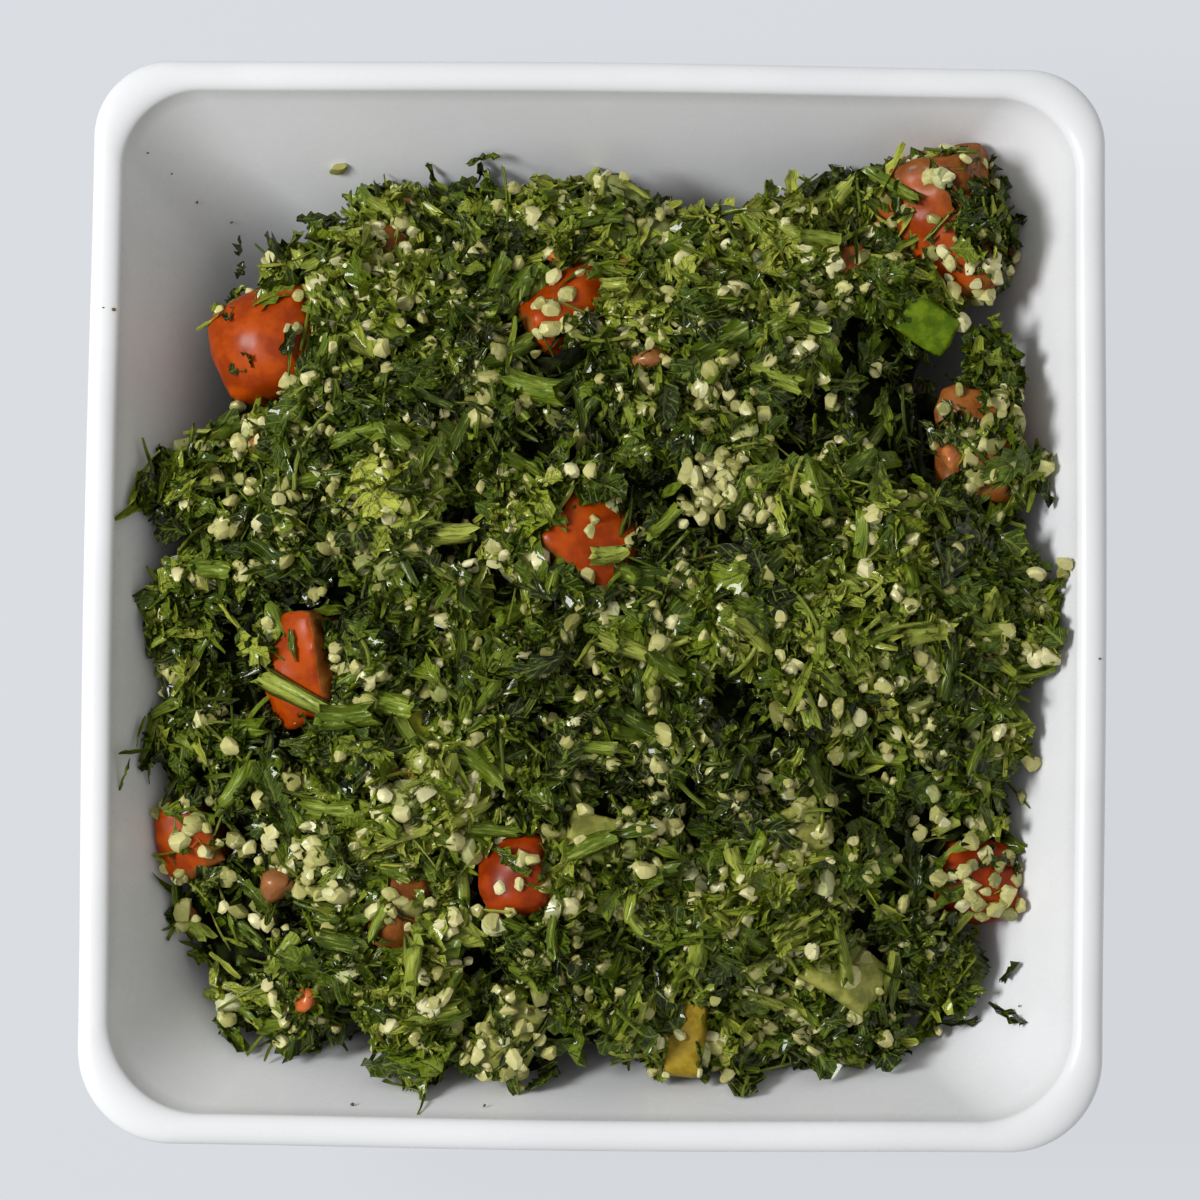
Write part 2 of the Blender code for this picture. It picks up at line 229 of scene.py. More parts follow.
class Effects:
    """Node groups that more than one finish uses, each built once."""

    RIB = (0.02, 0.09)
    BRANCH = (0.05, 0.16)
    BRANCH_SHARE = 0.7
    BRANCH_SLANT = -2.2

    _built: dict[str, bpy.types.NodeTree] = {}

    @classmethod
    def _group(cls, name: str, inputs: dict[str, float], outputs: Sequence[str],
               wire: Callable[[Graph, bpy.types.Node, bpy.types.Node], None]) -> bpy.types.NodeTree:
        """Build a group, or hand back the one that is built.

        Args:
            name: The group's name.
            inputs: Float inputs with their defaults.
            outputs: Names of the float outputs.
            wire: Fills the group between its input and output nodes.

        Returns:
            The group's tree.
        """
        if name not in cls._built:
            tree = bpy.data.node_groups.new(name, "ShaderNodeTree")
            for label, value in inputs.items():
                socket = tree.interface.new_socket(label, in_out="INPUT", socket_type="NodeSocketFloat")
                socket.default_value = value
            for label in outputs:
                tree.interface.new_socket(label, in_out="OUTPUT", socket_type="NodeSocketFloat")
            graph = Graph(tree)
            wire(graph, graph.node("NodeGroupInput"), graph.node("NodeGroupOutput"))
            cls._built[name] = tree
        return cls._built[name]

    @classmethod
    def place(cls, graph: Graph, tree: bpy.types.NodeTree, **values: float) -> bpy.types.Node:
        """Put a group into a material.

        Args:
            graph: The material's graph.
            tree: The group.
            **values: Its inputs' values.

        Returns:
            The group's node.
        """
        made = graph.node("ShaderNodeGroup")
        made.node_tree = tree
        graph.put(made, **values)
        return made

    @classmethod
    def fragment(cls) -> bpy.types.NodeTree:
        """Group that reads a fragment's own tint, and gives its streaks and veins.

        Returns:
            The group's tree.
        """
        def wire(graph: Graph, entry: bpy.types.Node, leave: bpy.types.Node) -> None:
            """Wire the group.

            Args:
                graph: The group's graph.
                entry: Its input node.
                leave: Its output node.
            """
            place = graph.node("ShaderNodeUVMap", uv_map=TINT_MAP)
            parts = graph.node("ShaderNodeSeparateXYZ")
            graph.link(place.outputs["UV"], parts.inputs[0])
            levels = graph.math("MULTIPLY", parts.outputs["X"], float(TINT_LEVELS))
            tint = graph.math("DIVIDE", graph.math("FLOOR", levels), TINT_LEVELS - 1.0)
            side = graph.math("ABSOLUTE", graph.math("SUBTRACT", graph.math("FRACT", levels), 0.5))
            rib = graph.span(side, *cls.RIB, 1.0, 0.0)
            slant = graph.math("ADD", graph.math("MULTIPLY", parts.outputs["Y"], entry.outputs["Veins"]),
                               graph.math("MULTIPLY", side, cls.BRANCH_SLANT))
            branch = graph.math("ABSOLUTE", graph.math("SUBTRACT", graph.math("FRACT", slant), 0.5))
            vein = graph.math("MAXIMUM", rib, graph.span(branch, *cls.BRANCH, cls.BRANCH_SHARE, 0.0))
            fine = graph.node("ShaderNodeCombineXYZ")
            graph.put(fine, X=graph.math("MULTIPLY", parts.outputs["X"], entry.outputs["Across"]),
                      Y=graph.math("MULTIPLY", parts.outputs["Y"], entry.outputs["Along"]))
            streak = graph.node("ShaderNodeTexNoise")
            graph.put(streak, Vector=fine.outputs[0], Scale=1.0, Detail=4.0, Roughness=0.70)
            graph.link(tint, leave.inputs["Tint"])
            graph.link(streak.outputs["Fac"], leave.inputs["Streak"])
            graph.link(vein, leave.inputs["Vein"])
        return cls._group("fragment_tint", {"Across": 400.0, "Along": 7.0, "Veins": 6.0},
                          ("Tint", "Streak", "Vein"), wire)

    @classmethod
    def mottle(cls) -> bpy.types.NodeTree:
        """Group that gives soft blotches through a solid, and a finer grain.

        Returns:
            The group's tree.
        """
        def wire(graph: Graph, entry: bpy.types.Node, leave: bpy.types.Node) -> None:
            """Wire the group.

            Args:
                graph: The group's graph.
                entry: Its input node.
                leave: Its output node.
            """
            place = graph.node("ShaderNodeTexCoord")
            for name, detail, size in (("Blotch", 3.0, "Blotch Size"), ("Grain", 4.0, "Grain Size")):
                texture = graph.node("ShaderNodeTexNoise")
                graph.put(texture, Vector=place.outputs["Object"], Detail=detail, Roughness=0.55,
                          Scale=graph.math("DIVIDE", 1.0, entry.outputs[size]))
                graph.link(texture.outputs["Fac"], leave.inputs[name])
        return cls._group("soft_mottle", {"Blotch Size": 0.005, "Grain Size": 0.0006},
                          ("Blotch", "Grain"), wire)


def new_material(name: str) -> tuple[bpy.types.Material, Graph, bpy.types.Node]:
    """Start a material.

    Args:
        name: The material's name.

    Returns:
        The material, its graph and its Principled BSDF.
    """
    material = bpy.data.materials.new(name)
    material.use_nodes = True
    return material, Graph(material.node_tree), material.node_tree.nodes["Principled BSDF"]


def bump(graph: Graph, shader: bpy.types.Node, height: bpy.types.NodeSocket,
         strength: float, distance: float) -> None:
    """Feed a height into a shader's normal.

    Args:
        graph: The material's graph.
        shader: The Principled BSDF.
        height: The height's socket.
        strength: Strength of the bump.
        distance: Height in metres that a full step of the value stands for.
    """
    made = graph.node("ShaderNodeBump")
    graph.put(made, Strength=strength, Distance=distance, Height=height)
    graph.link(made.outputs["Normal"], shader.inputs["Normal"])


# --------------------------------------------------------------------------------------- finishes

@dataclass(frozen=True)
class FragmentFinish:
    """Wet chopped matter whose colour follows each fragment's own tint.

    Attributes:
        name: The material's name.
        tints: Colours along the tint, from 0 to 1.
        tip: Colour that shows in the high streaks and along the veins.
        tip_share: How strongly the tip colour shows.
        roughness: Roughness of the surface.
        shine: Strength of its own reflection.
        gloss: Weight of the oily coat.
        gloss_roughness: Roughness of the oily coat.
        ridge: Height of the ridges along the fragment, in metres.
        across: Streaks over the whole range of tints.
        along: Streaks along a fragment.
        glow: Weight of light scattered inside.
        low_streak_shade: Painted shade: how strongly the darkest tint shows in the low streaks, the hollows
            of the bump.
        vein: How strongly the tip colour shows along the veins.
        veins: Pairs of side veins.
        glint: Colour of its own reflection.
    """

    name: str
    tints: tuple[tuple[float, Colour], ...]
    tip: Colour
    tip_share: float
    roughness: float
    shine: float
    gloss: float
    gloss_roughness: float
    ridge: float
    across: float = 500.0
    along: float = 9.0
    glow: float = 0.0
    low_streak_shade: float = 0.7
    vein: float = 0.0
    veins: float = 6.0
    glint: Colour = (0.80, 1.0, 0.50)

    # Streak values over which the darkest tint comes in, as painted shade in the hollows of the bump.
    GROOVE_SHADE_SPAN = (0.49, 0.36)
    TIPS = (0.52, 0.64)
    GLOW_DEPTH = 0.0012
    GLOW_COLOUR = (1.0, 0.8, 0.35)

    def make(self) -> bpy.types.Material:
        """Build the material.

        Returns:
            The material.
        """
        material, graph, shader = new_material(self.name)
        tint = Effects.place(graph, Effects.fragment(), Across=self.across, Along=self.along,
                             Veins=self.veins)
        base = graph.ramp(tint.outputs["Tint"], self.tints)
        # Painted shade: the darkest tint is mixed into the low streaks, which the bump makes into hollows.
        low_streak_shade = graph.span(tint.outputs["Streak"], *self.GROOVE_SHADE_SPAN, 0.0, self.low_streak_shade)
        base = graph.mix(low_streak_shade, base, self.tints[0][1])
        share = graph.span(tint.outputs["Streak"], *self.TIPS, 0.0, self.tip_share)
        height = tint.outputs["Streak"]
        if self.vein:
            vein = graph.math("MULTIPLY", tint.outputs["Vein"], self.vein)
            share = graph.math("MAXIMUM", share, vein)
            height = graph.math("ADD", height, vein)
        graph.put(shader, Base_Color=graph.mix(share, base, self.tip), Roughness=self.roughness,
                  Specular_IOR_Level=self.shine, Specular_Tint=(*self.glint, 1.0),
                  Coat_Weight=self.gloss, Coat_Roughness=self.gloss_roughness)
        if self.glow:
            graph.put(shader, Subsurface_Weight=self.glow, Subsurface_Scale=self.GLOW_DEPTH,
                      Subsurface_Radius=self.GLOW_COLOUR)
        bump(graph, shader, height, 1.0, self.ridge)
        return material


@dataclass(frozen=True)
class FleshFinish:
    """Wet cut vegetable with a skin side and a duller cut side.

    Attributes:
        name: The material's name.
        skin: Colour of the skin.
        skin_deep: Colour of the skin where it is darker.
        flesh: Colour of the cut side.
        flesh_deep: Colour of the cut side where it is darker.
        roughness: Roughness of the surface.
        gloss: Weight of the wet coat.
        pulp: Height of the pulp's grain, in metres.
        blotch: Size of the blotches, in metres.
        glow: Weight of light scattered inside.
    """

    name: str
    skin: Colour
    skin_deep: Colour
    flesh: Colour
    flesh_deep: Colour
    roughness: float = 0.50
    gloss: float = 0.12
    pulp: float = 0.00018
    blotch: float = 0.0035
    glow: float = 0.15

    GRAIN = 0.0007
    SHINE = 0.08
    GLOSS_ROUGHNESS = 0.25
    SKIN_SMOOTHNESS = 0.7
    SKIN_PULP = 0.12
    PULP_STRENGTH = 0.8
    GLOW_DEPTH = 0.002
    GLOW_COLOUR = (1.0, 0.45, 0.2)

    def make(self) -> bpy.types.Material:
        """Build the material.

        Returns:
            The material.
        """
        material, graph, shader = new_material(self.name)
        soft = Effects.place(graph, Effects.mottle(), Blotch_Size=self.blotch, Grain_Size=self.GRAIN)
        blotch = graph.span(soft.outputs["Blotch"], *CLOUD_SPAN)
        side = graph.node("ShaderNodeAttribute", attribute_name="skin")
        peel = graph.span(side.outputs["Fac"], *CLOUD_SPAN)
        skin = graph.mix(blotch, self.skin, self.skin_deep)
        flesh = graph.mix(blotch, self.flesh, self.flesh_deep)
        rough = graph.span(peel, 0.0, 1.0, self.roughness, self.roughness * self.SKIN_SMOOTHNESS)
        graph.put(shader, Base_Color=graph.mix(peel, flesh, skin), Roughness=rough,
                  Coat_Weight=self.gloss, Coat_Roughness=self.GLOSS_ROUGHNESS,
                  Specular_IOR_Level=self.SHINE, Subsurface_Weight=self.glow,
                  Subsurface_Scale=self.GLOW_DEPTH, Subsurface_Radius=self.GLOW_COLOUR)
        rise = graph.math("MULTIPLY", soft.outputs["Grain"],
                          graph.span(peel, 0.0, 1.0, 1.0, self.SKIN_PULP))
        bump(graph, shader, rise, self.PULP_STRENGTH, self.pulp)
        return material


@dataclass(frozen=True)
class PorcelainFinish:
    """Glossy off-white glaze with a faint unevenness.

    Attributes:
        name: The material's name.
        glaze: Colour of the glaze.
        shade: Colour in its faint clouds.
        roughness: Least and greatest roughness of the glaze.
        cloud_size: Size of the clouds, in metres.
        wave_size: Size of the waves in the surface, in metres.
        wave_height: Height of the waves, in metres.
        gloss: Weight and roughness of the clear outermost glaze.
        shine: Strength of its own reflection.
    """

    name: str = "porcelain_glaze"
    glaze: Colour = display(226, 227, 229)
    shade: Colour = display(222, 223, 225)
    roughness: Point2 = (0.24, 0.312)
    cloud_size: float = 0.022
    wave_size: float = 0.006
    wave_height: float = 0.00004
    gloss: Point2 = (0.10, 0.10)
    shine: float = 0.2

    WAVE_STRENGTH = 0.25

    def make(self) -> bpy.types.Material:
        """Build the material.

        Returns:
            The material.
        """
        material, graph, shader = new_material(self.name)
        soft = Effects.place(graph, Effects.mottle(), Blotch_Size=self.cloud_size,
                             Grain_Size=self.wave_size)
        cloud = graph.span(soft.outputs["Blotch"], *CLOUD_SPAN)
        graph.put(shader, Base_Color=graph.mix(cloud, self.glaze, self.shade),
                  Roughness=graph.span(soft.outputs["Grain"], *GRAIN_SPAN, *self.roughness),
                  Coat_Weight=self.gloss[0], Coat_Roughness=self.gloss[1],
                  Specular_IOR_Level=self.shine)
        bump(graph, shader, soft.outputs["Grain"], self.WAVE_STRENGTH, self.wave_height)
        return material


@dataclass(frozen=True)
class CoreFinish:
    """Matted herbs deep between the fragments, in patches of dark leaf and of near-black painted shade.

    Attributes:
        name: The material's name.
        dark: Painted shade: near-black that stands for the shade deep in the gaps.
        leaf: Colour of the matted leaf.
        patches: Values of the blotches between which the leaf comes in.
        patch_size: Size of the leaf's patches, in metres.
        mat_size: Size of the matting, in metres.
        mat_height: Height of the matting, in metres.
        roughness: Least and greatest roughness.
        shine: Strength of its own reflection.
    """

    name: str = "matted_herbs_and_gap_shade"
    dark: Colour = display(9, 11, 2)
    leaf: Colour = display(36, 46, 5)
    patches: Point2 = (0.40, 0.66)
    patch_size: float = 0.0028
    mat_size: float = 0.0009
    mat_height: float = 0.0006
    roughness: Point2 = (0.7, 0.9)
    shine: float = 0.1

    def make(self) -> bpy.types.Material:
        """Build the material.

        Returns:
            The material.
        """
        material, graph, shader = new_material(self.name)
        soft = Effects.place(graph, Effects.mottle(), Blotch_Size=self.patch_size,
                             Grain_Size=self.mat_size)
        share = graph.span(soft.outputs["Blotch"], *self.patches)
        # Painted shade: the near-black of the gaps shows between the leaf's patches.
        graph.put(shader, Base_Color=graph.mix(share, self.dark, self.leaf),
                  Roughness=graph.span(soft.outputs["Grain"], *GRAIN_SPAN, *self.roughness),
                  Specular_IOR_Level=self.shine)
        bump(graph, shader, soft.outputs["Grain"], 1.0, self.mat_height)
        return material


@dataclass(frozen=True)
class FloorFinish:
    """Pale backdrop that hardly takes a shadow.

    Attributes:
        name: The material's name.
        tone: Colour of the backdrop.
        own_light: Share of its brightness that is its own.
        dimmer: Brightness of its faint clouds, as a share.
        cloud_size: Size of the clouds, in metres.
        roughness: Roughness of the backdrop.
    """

    name: str = "backdrop"
    tone: Colour = display(216, 219, 224)
    own_light: float = 0.90
    dimmer: float = 0.98
    cloud_size: float = 0.4
    roughness: float = 0.9

    def make(self) -> bpy.types.Material:
        """Build the material.

        Returns:
            The material.
        """
        material, graph, shader = new_material(self.name)
        soft = Effects.place(graph, Effects.mottle(), Blotch_Size=self.cloud_size)
        plain = tuple(channel * (1.0 - self.own_light) for channel in self.tone)
        dim = tuple(channel * self.dimmer for channel in plain)
        share = graph.span(soft.outputs["Blotch"], *GRAIN_SPAN)
        graph.put(shader, Base_Color=graph.mix(share, plain, dim), Roughness=self.roughness,
                  Specular_IOR_Level=0.0, Emission_Color=(*self.tone, 1.0),
                  Emission_Strength=self.own_light)
        return material


# ------------------------------------------------------------------------------ fragments as shapes

@dataclass
class Shape:
    """A small triangle mesh, with a place across and along itself for each point.

    Attributes:
        points: Corner places, one row each, in metres.
        faces: Corner numbers, three a row.
        across: Place across the fragment, from 0 to 1.
        along: Place along the fragment, from 0 to 1.
    """

    points: np.ndarray
    faces: np.ndarray
    across: np.ndarray
    along: np.ndarray


def grid_faces(rows: int, columns: int, closed: bool = False) -> np.ndarray:
    """Triangles of a grid of points.

    Args:
        rows: Rows of points.
        columns: Points in a row.
        closed: Whether each row joins round to its start.

    Returns:
        Corner numbers, three a row.
    """
    steps = columns if closed else columns - 1
    row, column = np.meshgrid(np.arange(rows - 1), np.arange(steps), indexing="ij")
    after = (column + 1) % columns
    first, second = row * columns + column, row * columns + after
    third, fourth = (row + 1) * columns + after, (row + 1) * columns + column
    halves = (np.stack((first, second, third), -1), np.stack((first, third, fourth), -1))
    return np.concatenate([half.reshape(-1, 3) for half in halves])


def bent(x: np.ndarray, height: np.ndarray, length: float, bend: float) -> tuple[np.ndarray, np.ndarray]:
    """Bend a straight piece round an arc.

    Args:
        x: Places along it, from 0 to its length.
        height: Heights towards the middle of the arc.
        length: Its length.
        bend: Whole turn of the arc, in radians. A slighter one than LEAST_BEND is taken as that.

    Returns:
        The bent places and heights.
    """
    if abs(bend) < LEAST_BEND:
        bend = LEAST_BEND
    radius = length / bend
    turn = (x / length - 0.5) * bend
    return (radius - height) * np.sin(turn), radius - (radius - height) * np.cos(turn)


@dataclass(frozen=True)
class Ribbon:
    """A bent, folded sheet with an uneven edge, such as a leaf's flake or a cut strip.

    Attributes:
        rows: Points along it.
        columns: Points across it.
        length: Shortest and longest length, in metres.
        width: Narrowest and widest half width, in metres.
        teeth: How much deeper every second point of the edge is cut.
        lead: How far the teeth point forward, as a share of the length.
        fold: Least and most rise of the sides about the rib, in degrees.
        curl: Most bend along the length, in degrees.
        twist: Most twist along the length, in degrees.
        crumple: Unevenness of the sheet, in metres.
        ridges: Height of the ridges that run along it, in metres.
    """

    rows: int
    columns: int
    length: Point2
    width: Point2
    teeth: float
    lead: float
    fold: Point2
    curl: float
    twist: float
    crumple: float
    ridges: float = 0.0

    BELLY_START = 0.16
    BELLY_SPAN = 0.74
    BELLY_FULLNESS = 0.7
    BELLY_SKEW = (0.7, 1.4)
    CUT_DEPTH = (0.5, 1.0)
    EDGE_WOBBLE = (0.75, 1.15)

    def shape(self, rng: np.random.Generator) -> Shape:
        """Make one ribbon of its own.

        Args:
            rng: Source of its unevenness.

        Returns:
            The ribbon, about its own middle.
        """
        length, width = rng.uniform(*self.length), rng.uniform(*self.width)
        along = np.linspace(0.0, 1.0, self.rows)
        across = np.linspace(-1.0, 1.0, self.columns)
        skewed = along ** rng.uniform(*self.BELLY_SKEW)
        belly = np.sin(math.pi * (self.BELLY_START + self.BELLY_SPAN * skewed)) ** self.BELLY_FULLNESS
        halves = []
        for side in range(2):
            depth = self.teeth * rng.uniform(*self.CUT_DEPTH, self.rows)
            cut = 1.0 - depth * ((np.arange(self.rows) + side) % 2)
            halves.append(width * belly * cut * rng.uniform(*self.EDGE_WOBBLE, self.rows))
        grid_along, grid_across = np.meshgrid(along, across, indexing="ij")
        half = np.where(grid_across < 0.0, halves[0][:, None], halves[1][:, None])
        y = grid_across * half
        point = self.lead * length * np.abs(grid_across) * half / width
        x = grid_along * length + point
        angle = math.radians(rng.uniform(*self.fold))
        z = np.abs(y) * math.sin(angle) + rng.normal(0.0, self.crumple, y.shape)
        if self.ridges:
            z += self.ridges * np.cos(grid_across * math.pi * (self.columns - 1) / 2.0)
        y = y * math.cos(angle)
        x, z = bent(x, z, length, math.radians(rng.uniform(-self.curl, self.curl)))
        screw = (grid_along - 0.5) * math.radians(rng.uniform(-self.twist, self.twist))
        y, z = y * np.cos(screw) - z * np.sin(screw), y * np.sin(screw) + z * np.cos(screw)
        points = np.stack((x, y, z), -1).reshape(-1, 3)
        points -= points.mean(0)
        return Shape(points, grid_faces(self.rows, self.columns),
                     (grid_across.ravel() + 1.0) / 2.0, grid_along.ravel())


@dataclass(frozen=True)
class Stalk:
    """A ribbed, bent piece of stem with frayed ends.

    Attributes:
        rows: Points along it.
        sides: Points round it.
        length: Shortest and longest length, in metres.
        radius: Thinnest and thickest radius, in metres.
        ribs: Depth of its ribs as a share of the radius.
        fray: How unevenly its ends are cut, in metres.
        curl: Most bend along the length, in degrees.
        flat: Least height as a share of the width.
        taper: Most thinning towards its far end, as a share.
    """

    rows: int
    sides: int
    length: Point2
    radius: Point2
    ribs: float
    fray: float
    curl: float
    flat: float = 0.8
    taper: float = 0.35

    WOBBLE = (0.9, 1.1)

    def shape(self, rng: np.random.Generator) -> Shape:
        """Make one stalk of its own.

        Args:
            rng: Source of its unevenness.

        Returns:
            The stalk, about its own middle.
        """
        length, radius = rng.uniform(*self.length), rng.uniform(*self.radius)
        along = np.linspace(0.0, 1.0, self.rows)
        angle = np.linspace(0.0, math.tau, self.sides, endpoint=False)
        grid_along, grid_angle = np.meshgrid(along, angle, indexing="ij")
        rib = 1.0 + self.ribs * np.where(np.arange(self.sides) % 2, 1.0, -1.0)[None, :]
        taper = 1.0 - rng.uniform(0.0, self.taper) * grid_along
        wobble = rng.uniform(*self.WOBBLE, grid_along.shape)
        reach = radius * rib * taper * wobble
        flat = rng.uniform(self.flat, 1.0)
        x = grid_along * length
        x[0] += rng.uniform(-self.fray, self.fray, self.sides)
        x[-1] += rng.uniform(-self.fray, self.fray, self.sides)
        y, z = reach * np.cos(grid_angle), reach * np.sin(grid_angle) * flat
        x, y = bent(x, y, length, math.radians(rng.uniform(-self.curl, self.curl)))
        points = np.stack((x, y, z), -1).reshape(-1, 3)
        ends = np.array([points[:self.sides].mean(0), points[-self.sides:].mean(0)])
        points = np.concatenate((points, ends))
        faces = [grid_faces(self.rows, self.sides, closed=True)[:, ::-1]]
        last = self.rows * self.sides
        ring = np.arange(self.sides)
        after = (ring + 1) % self.sides
        faces.append(np.stack((np.full(self.sides, last), ring, after), -1)[:, ::-1])
        top = last - self.sides
        faces.append(np.stack((np.full(self.sides, last + 1), top + after, top + ring), -1)[:, ::-1])
        points -= points.mean(0)
        wrap = np.abs(grid_angle / math.pi - 1.0)
        return Shape(points, np.concatenate(faces), np.append(wrap.ravel(), (0.5, 0.5)),
                     np.append(grid_along.ravel(), (0.0, 1.0)))


@dataclass(frozen=True)
class Pebble:
    """An angular lump with flat chips off a rounded body, such as a grain or a bit of pulp.

    Attributes:
        detail: Rounds of division of the ball it starts as.
        size: Smallest and largest size, in metres.
        stretch: Least width and least height as shares of the length.
        chips: How many flats it has.
        chip_depth: Nearest and furthest flat from the middle, as shares of the radius.
    """

    detail: int
    size: Point2
    stretch: Point2
    chips: int
    chip_depth: Point2

    ALONG_SHARE = 0.6
    TOP_SHIFT = 0.2

    def shape(self, rng: np.random.Generator) -> Shape:
        """Make one pebble of its own.

        Args:
            rng: Source of its unevenness.

        Returns:
            The pebble, about its own middle.
        """
        ball = bmesh.new()
        bmesh.ops.create_icosphere(ball, subdivisions=self.detail, radius=1.0)
        points = np.array([vertex.co for vertex in ball.verts])
        faces = np.array([[vertex.index for vertex in face.verts] for face in ball.faces])
        ball.free()
        for _ in range(self.chips):
            normal = rng.normal(size=3)
            normal /= np.linalg.norm(normal)
            beyond = points @ normal - rng.uniform(*self.chip_depth)
            points -= np.maximum(beyond, 0.0)[:, None] * normal
        shares = (1.0, rng.uniform(self.stretch[0], 1.0), rng.uniform(self.stretch[1], 1.0))
        points *= np.array(shares)
        points *= rng.uniform(*self.size) / np.ptp(points, axis=0).max()
        bearing = np.arctan2(points[:, 1], points[:, 0])
        spread = np.linalg.norm(points, axis=1)
        along = spread / spread.max() * self.ALONG_SHARE + self.TOP_SHIFT * (points[:, 2] > 0)
        return Shape(points, faces, np.abs(bearing) / math.pi, along)


Form = Ribbon | Stalk | Pebble


# ----------------------------------------------------------------------------- ground to scatter on

def lattice_noise(x: np.ndarray, y: np.ndarray, cell: float, seed: int) -> np.ndarray:
    """Smooth noise from -1 to 1 at many places.

    Args:
        x: Places along X, in metres.
        y: Places along Y, in metres.
        cell: Size of its lumps, in metres.
        seed: Picks the pattern.

    Returns:
        One value for each place.
    """
    cells, middle = 96, 40.5
    table = np.random.default_rng(seed).uniform(-1.0, 1.0, (cells + 1, cells + 1))
    u, v = x / cell + middle, y / cell + middle
    column, row = np.floor(u).astype(int), np.floor(v).astype(int)
    fx, fy = u - column, v - row
    fx, fy = fx * fx * (3.0 - 2.0 * fx), fy * fy * (3.0 - 2.0 * fy)
    column, row = column % cells, row % cells
    low = table[row, column] * (1.0 - fx) + table[row, column + 1] * fx
    high = table[row + 1, column] * (1.0 - fx) + table[row + 1, column + 1] * fx
    return low * (1.0 - fy) + high * fy


class Ground:
    """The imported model's open surfaces, which fragments lie on.

    Attributes:
        names: Nodes in the heap, the heap itself first.
        height: Height of the contents over the grid, and of the bowl where they end.
        owner: Which node is on top there, or -1 over the bare bowl.
        wall: Height of the bowl's inside.
        corners: Corners of each open face.
        facing: Direction of each open face.
        owners: Which node each open face belongs to.
        shares: Share of the open surface up to and with each face.
    """

    STEP = 0.0005
    ABOVE = 0.2
    BURIED = 0.0015
    DICED_BURIED = 0.00045
    BARE_WALL = 0.0012
    BEFORE_FACE = 0.0006
    UNDERCUT = -0.3
    DICED_BLUR = 4
    SLOPE_BLUR = 3

    def __init__(self, piece_names: Sequence[str]) -> None:
        """Read the nodes' faces, and cast straight down onto them over a grid.

        Args:
            piece_names: Nodes that lie in the heap.
        """
        self.names = [HEAP_NODE, *piece_names]
        low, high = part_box(BOWL_NODE)
        self.origin = np.array((low[0], low[1]))
        self.columns = int((high[0] - low[0]) / self.STEP) + 1
        self.rows = int((high[1] - low[1]) / self.STEP) + 1
        points, faces, owners = self._faces(self.names)
        contents = BVHTree.FromPolygons(points, faces)
        bowl_points, bowl_faces, _ = self._faces([BOWL_NODE])
        bowl = BVHTree.FromPolygons(bowl_points, bowl_faces)
        shape = (self.rows, self.columns)
        self.height, self.owner, self.wall = np.zeros(shape), np.full(shape, -1), np.zeros(shape)
        down = Vector((0.0, 0.0, -1.0))
        for row in range(self.rows):
            for column in range(self.columns):
                x, y = self.origin + np.array((column, row)) * self.STEP
                start = Vector((x, y, self.ABOVE))
                hit = bowl.ray_cast(start, down)
                self.wall[row, column] = hit[0].z if hit[0] else 0.0
                food = contents.ray_cast(start, down)
                if food[0]:
                    self.height[row, column] = food[0].z
                    self.owner[row, column] = owners[food[2]]
        bare = self.owner < 0
        self.height[bare] = self.wall[bare]
        self.diced = self._blur((self.owner > 0).astype(float), self.DICED_BLUR)
        self.slope_y, self.slope_x = self._slopes(self.height)
        self.wall_slope_y, self.wall_slope_x = self._slopes(self.wall)
        self._open_faces(np.array(points), faces, np.array(owners))

    def _slopes(self, heights: np.ndarray) -> Sequence[np.ndarray]:
        """Slopes of a field along Y and along X, smoothed."""
        return np.gradient(self._blur(heights, self.SLOPE_BLUR), self.STEP)

    @staticmethod
    def _faces(names: Sequence[str]) -> tuple[list[Vector], list[list[int]], list[int]]:
        """Join nodes' faces.

        Args:
            names: The nodes.

        Returns:
            Their points, their faces, and for each face the number of its node.
        """
        points, faces, owners = [], [], []
        for number, name in enumerate(names):
            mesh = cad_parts[name].data
            start = len(points)
            points.extend(vertex.co.copy() for vertex in mesh.vertices)
            mesh.calc_loop_triangles()
            for triangle in mesh.loop_triangles:
                faces.append([start + index for index in triangle.vertices])
                owners.append(number)
        return points, faces, owners

    def _open_faces(self, points: np.ndarray, faces: list[list[int]], owners: np.ndarray) -> None:
        """Keep the faces that are not buried and do not lie on the bowl.

        Args:
            points: Points of all the nodes.
            faces: Their triangles.
            owners: The node of each triangle.
        """
        corners = points[np.array(faces)]
        across = np.cross(corners[:, 1] - corners[:, 0], corners[:, 2] - corners[:, 0])
        area = np.linalg.norm(across, axis=1) + 1e-15
        middle = corners.mean(1)
        facing = across / area[:, None]
        x, y, z = (middle + facing * self.BEFORE_FACE).T
        top = z > self.read(self.height, x, y) - np.where(owners > 0, self.DICED_BURIED, self.BURIED)
        free = z > self.read(self.wall, x, y) + self.BARE_WALL
        kept = top & free & (facing[:, 2] > self.UNDERCUT)
        self.corners, self.facing, self.owners = corners[kept], facing[kept], owners[kept]
        self.shares = np.cumsum(area[kept]) / area[kept].sum()

    @staticmethod
    def _blur(values: np.ndarray, reach: int) -> np.ndarray:
        """Average a field over a square window.

        Args:
            values: The field.
            reach: Cells on each side of the middle.

        Returns:
            The averaged field.
        """
        padded = np.pad(values, reach, mode="edge")
        total = np.zeros_like(values)
        for row in range(2 * reach + 1):
            for column in range(2 * reach + 1):
                total += padded[row:row + values.shape[0], column:column + values.shape[1]]
        return total / (2 * reach + 1) ** 2

    def read(self, values: np.ndarray, x: np.ndarray, y: np.ndarray) -> np.ndarray:
        """Read a field at many places.

        Args:
            values: The field.
            x: Places along X.
            y: Places along Y.

        Returns:
            One value for each place.
        """
        column = np.clip(np.rint((x - self.origin[0]) / self.STEP).astype(int), 0, self.columns - 1)
        row = np.clip(np.rint((y - self.origin[1]) / self.STEP).astype(int), 0, self.rows - 1)
        return values[row, column]

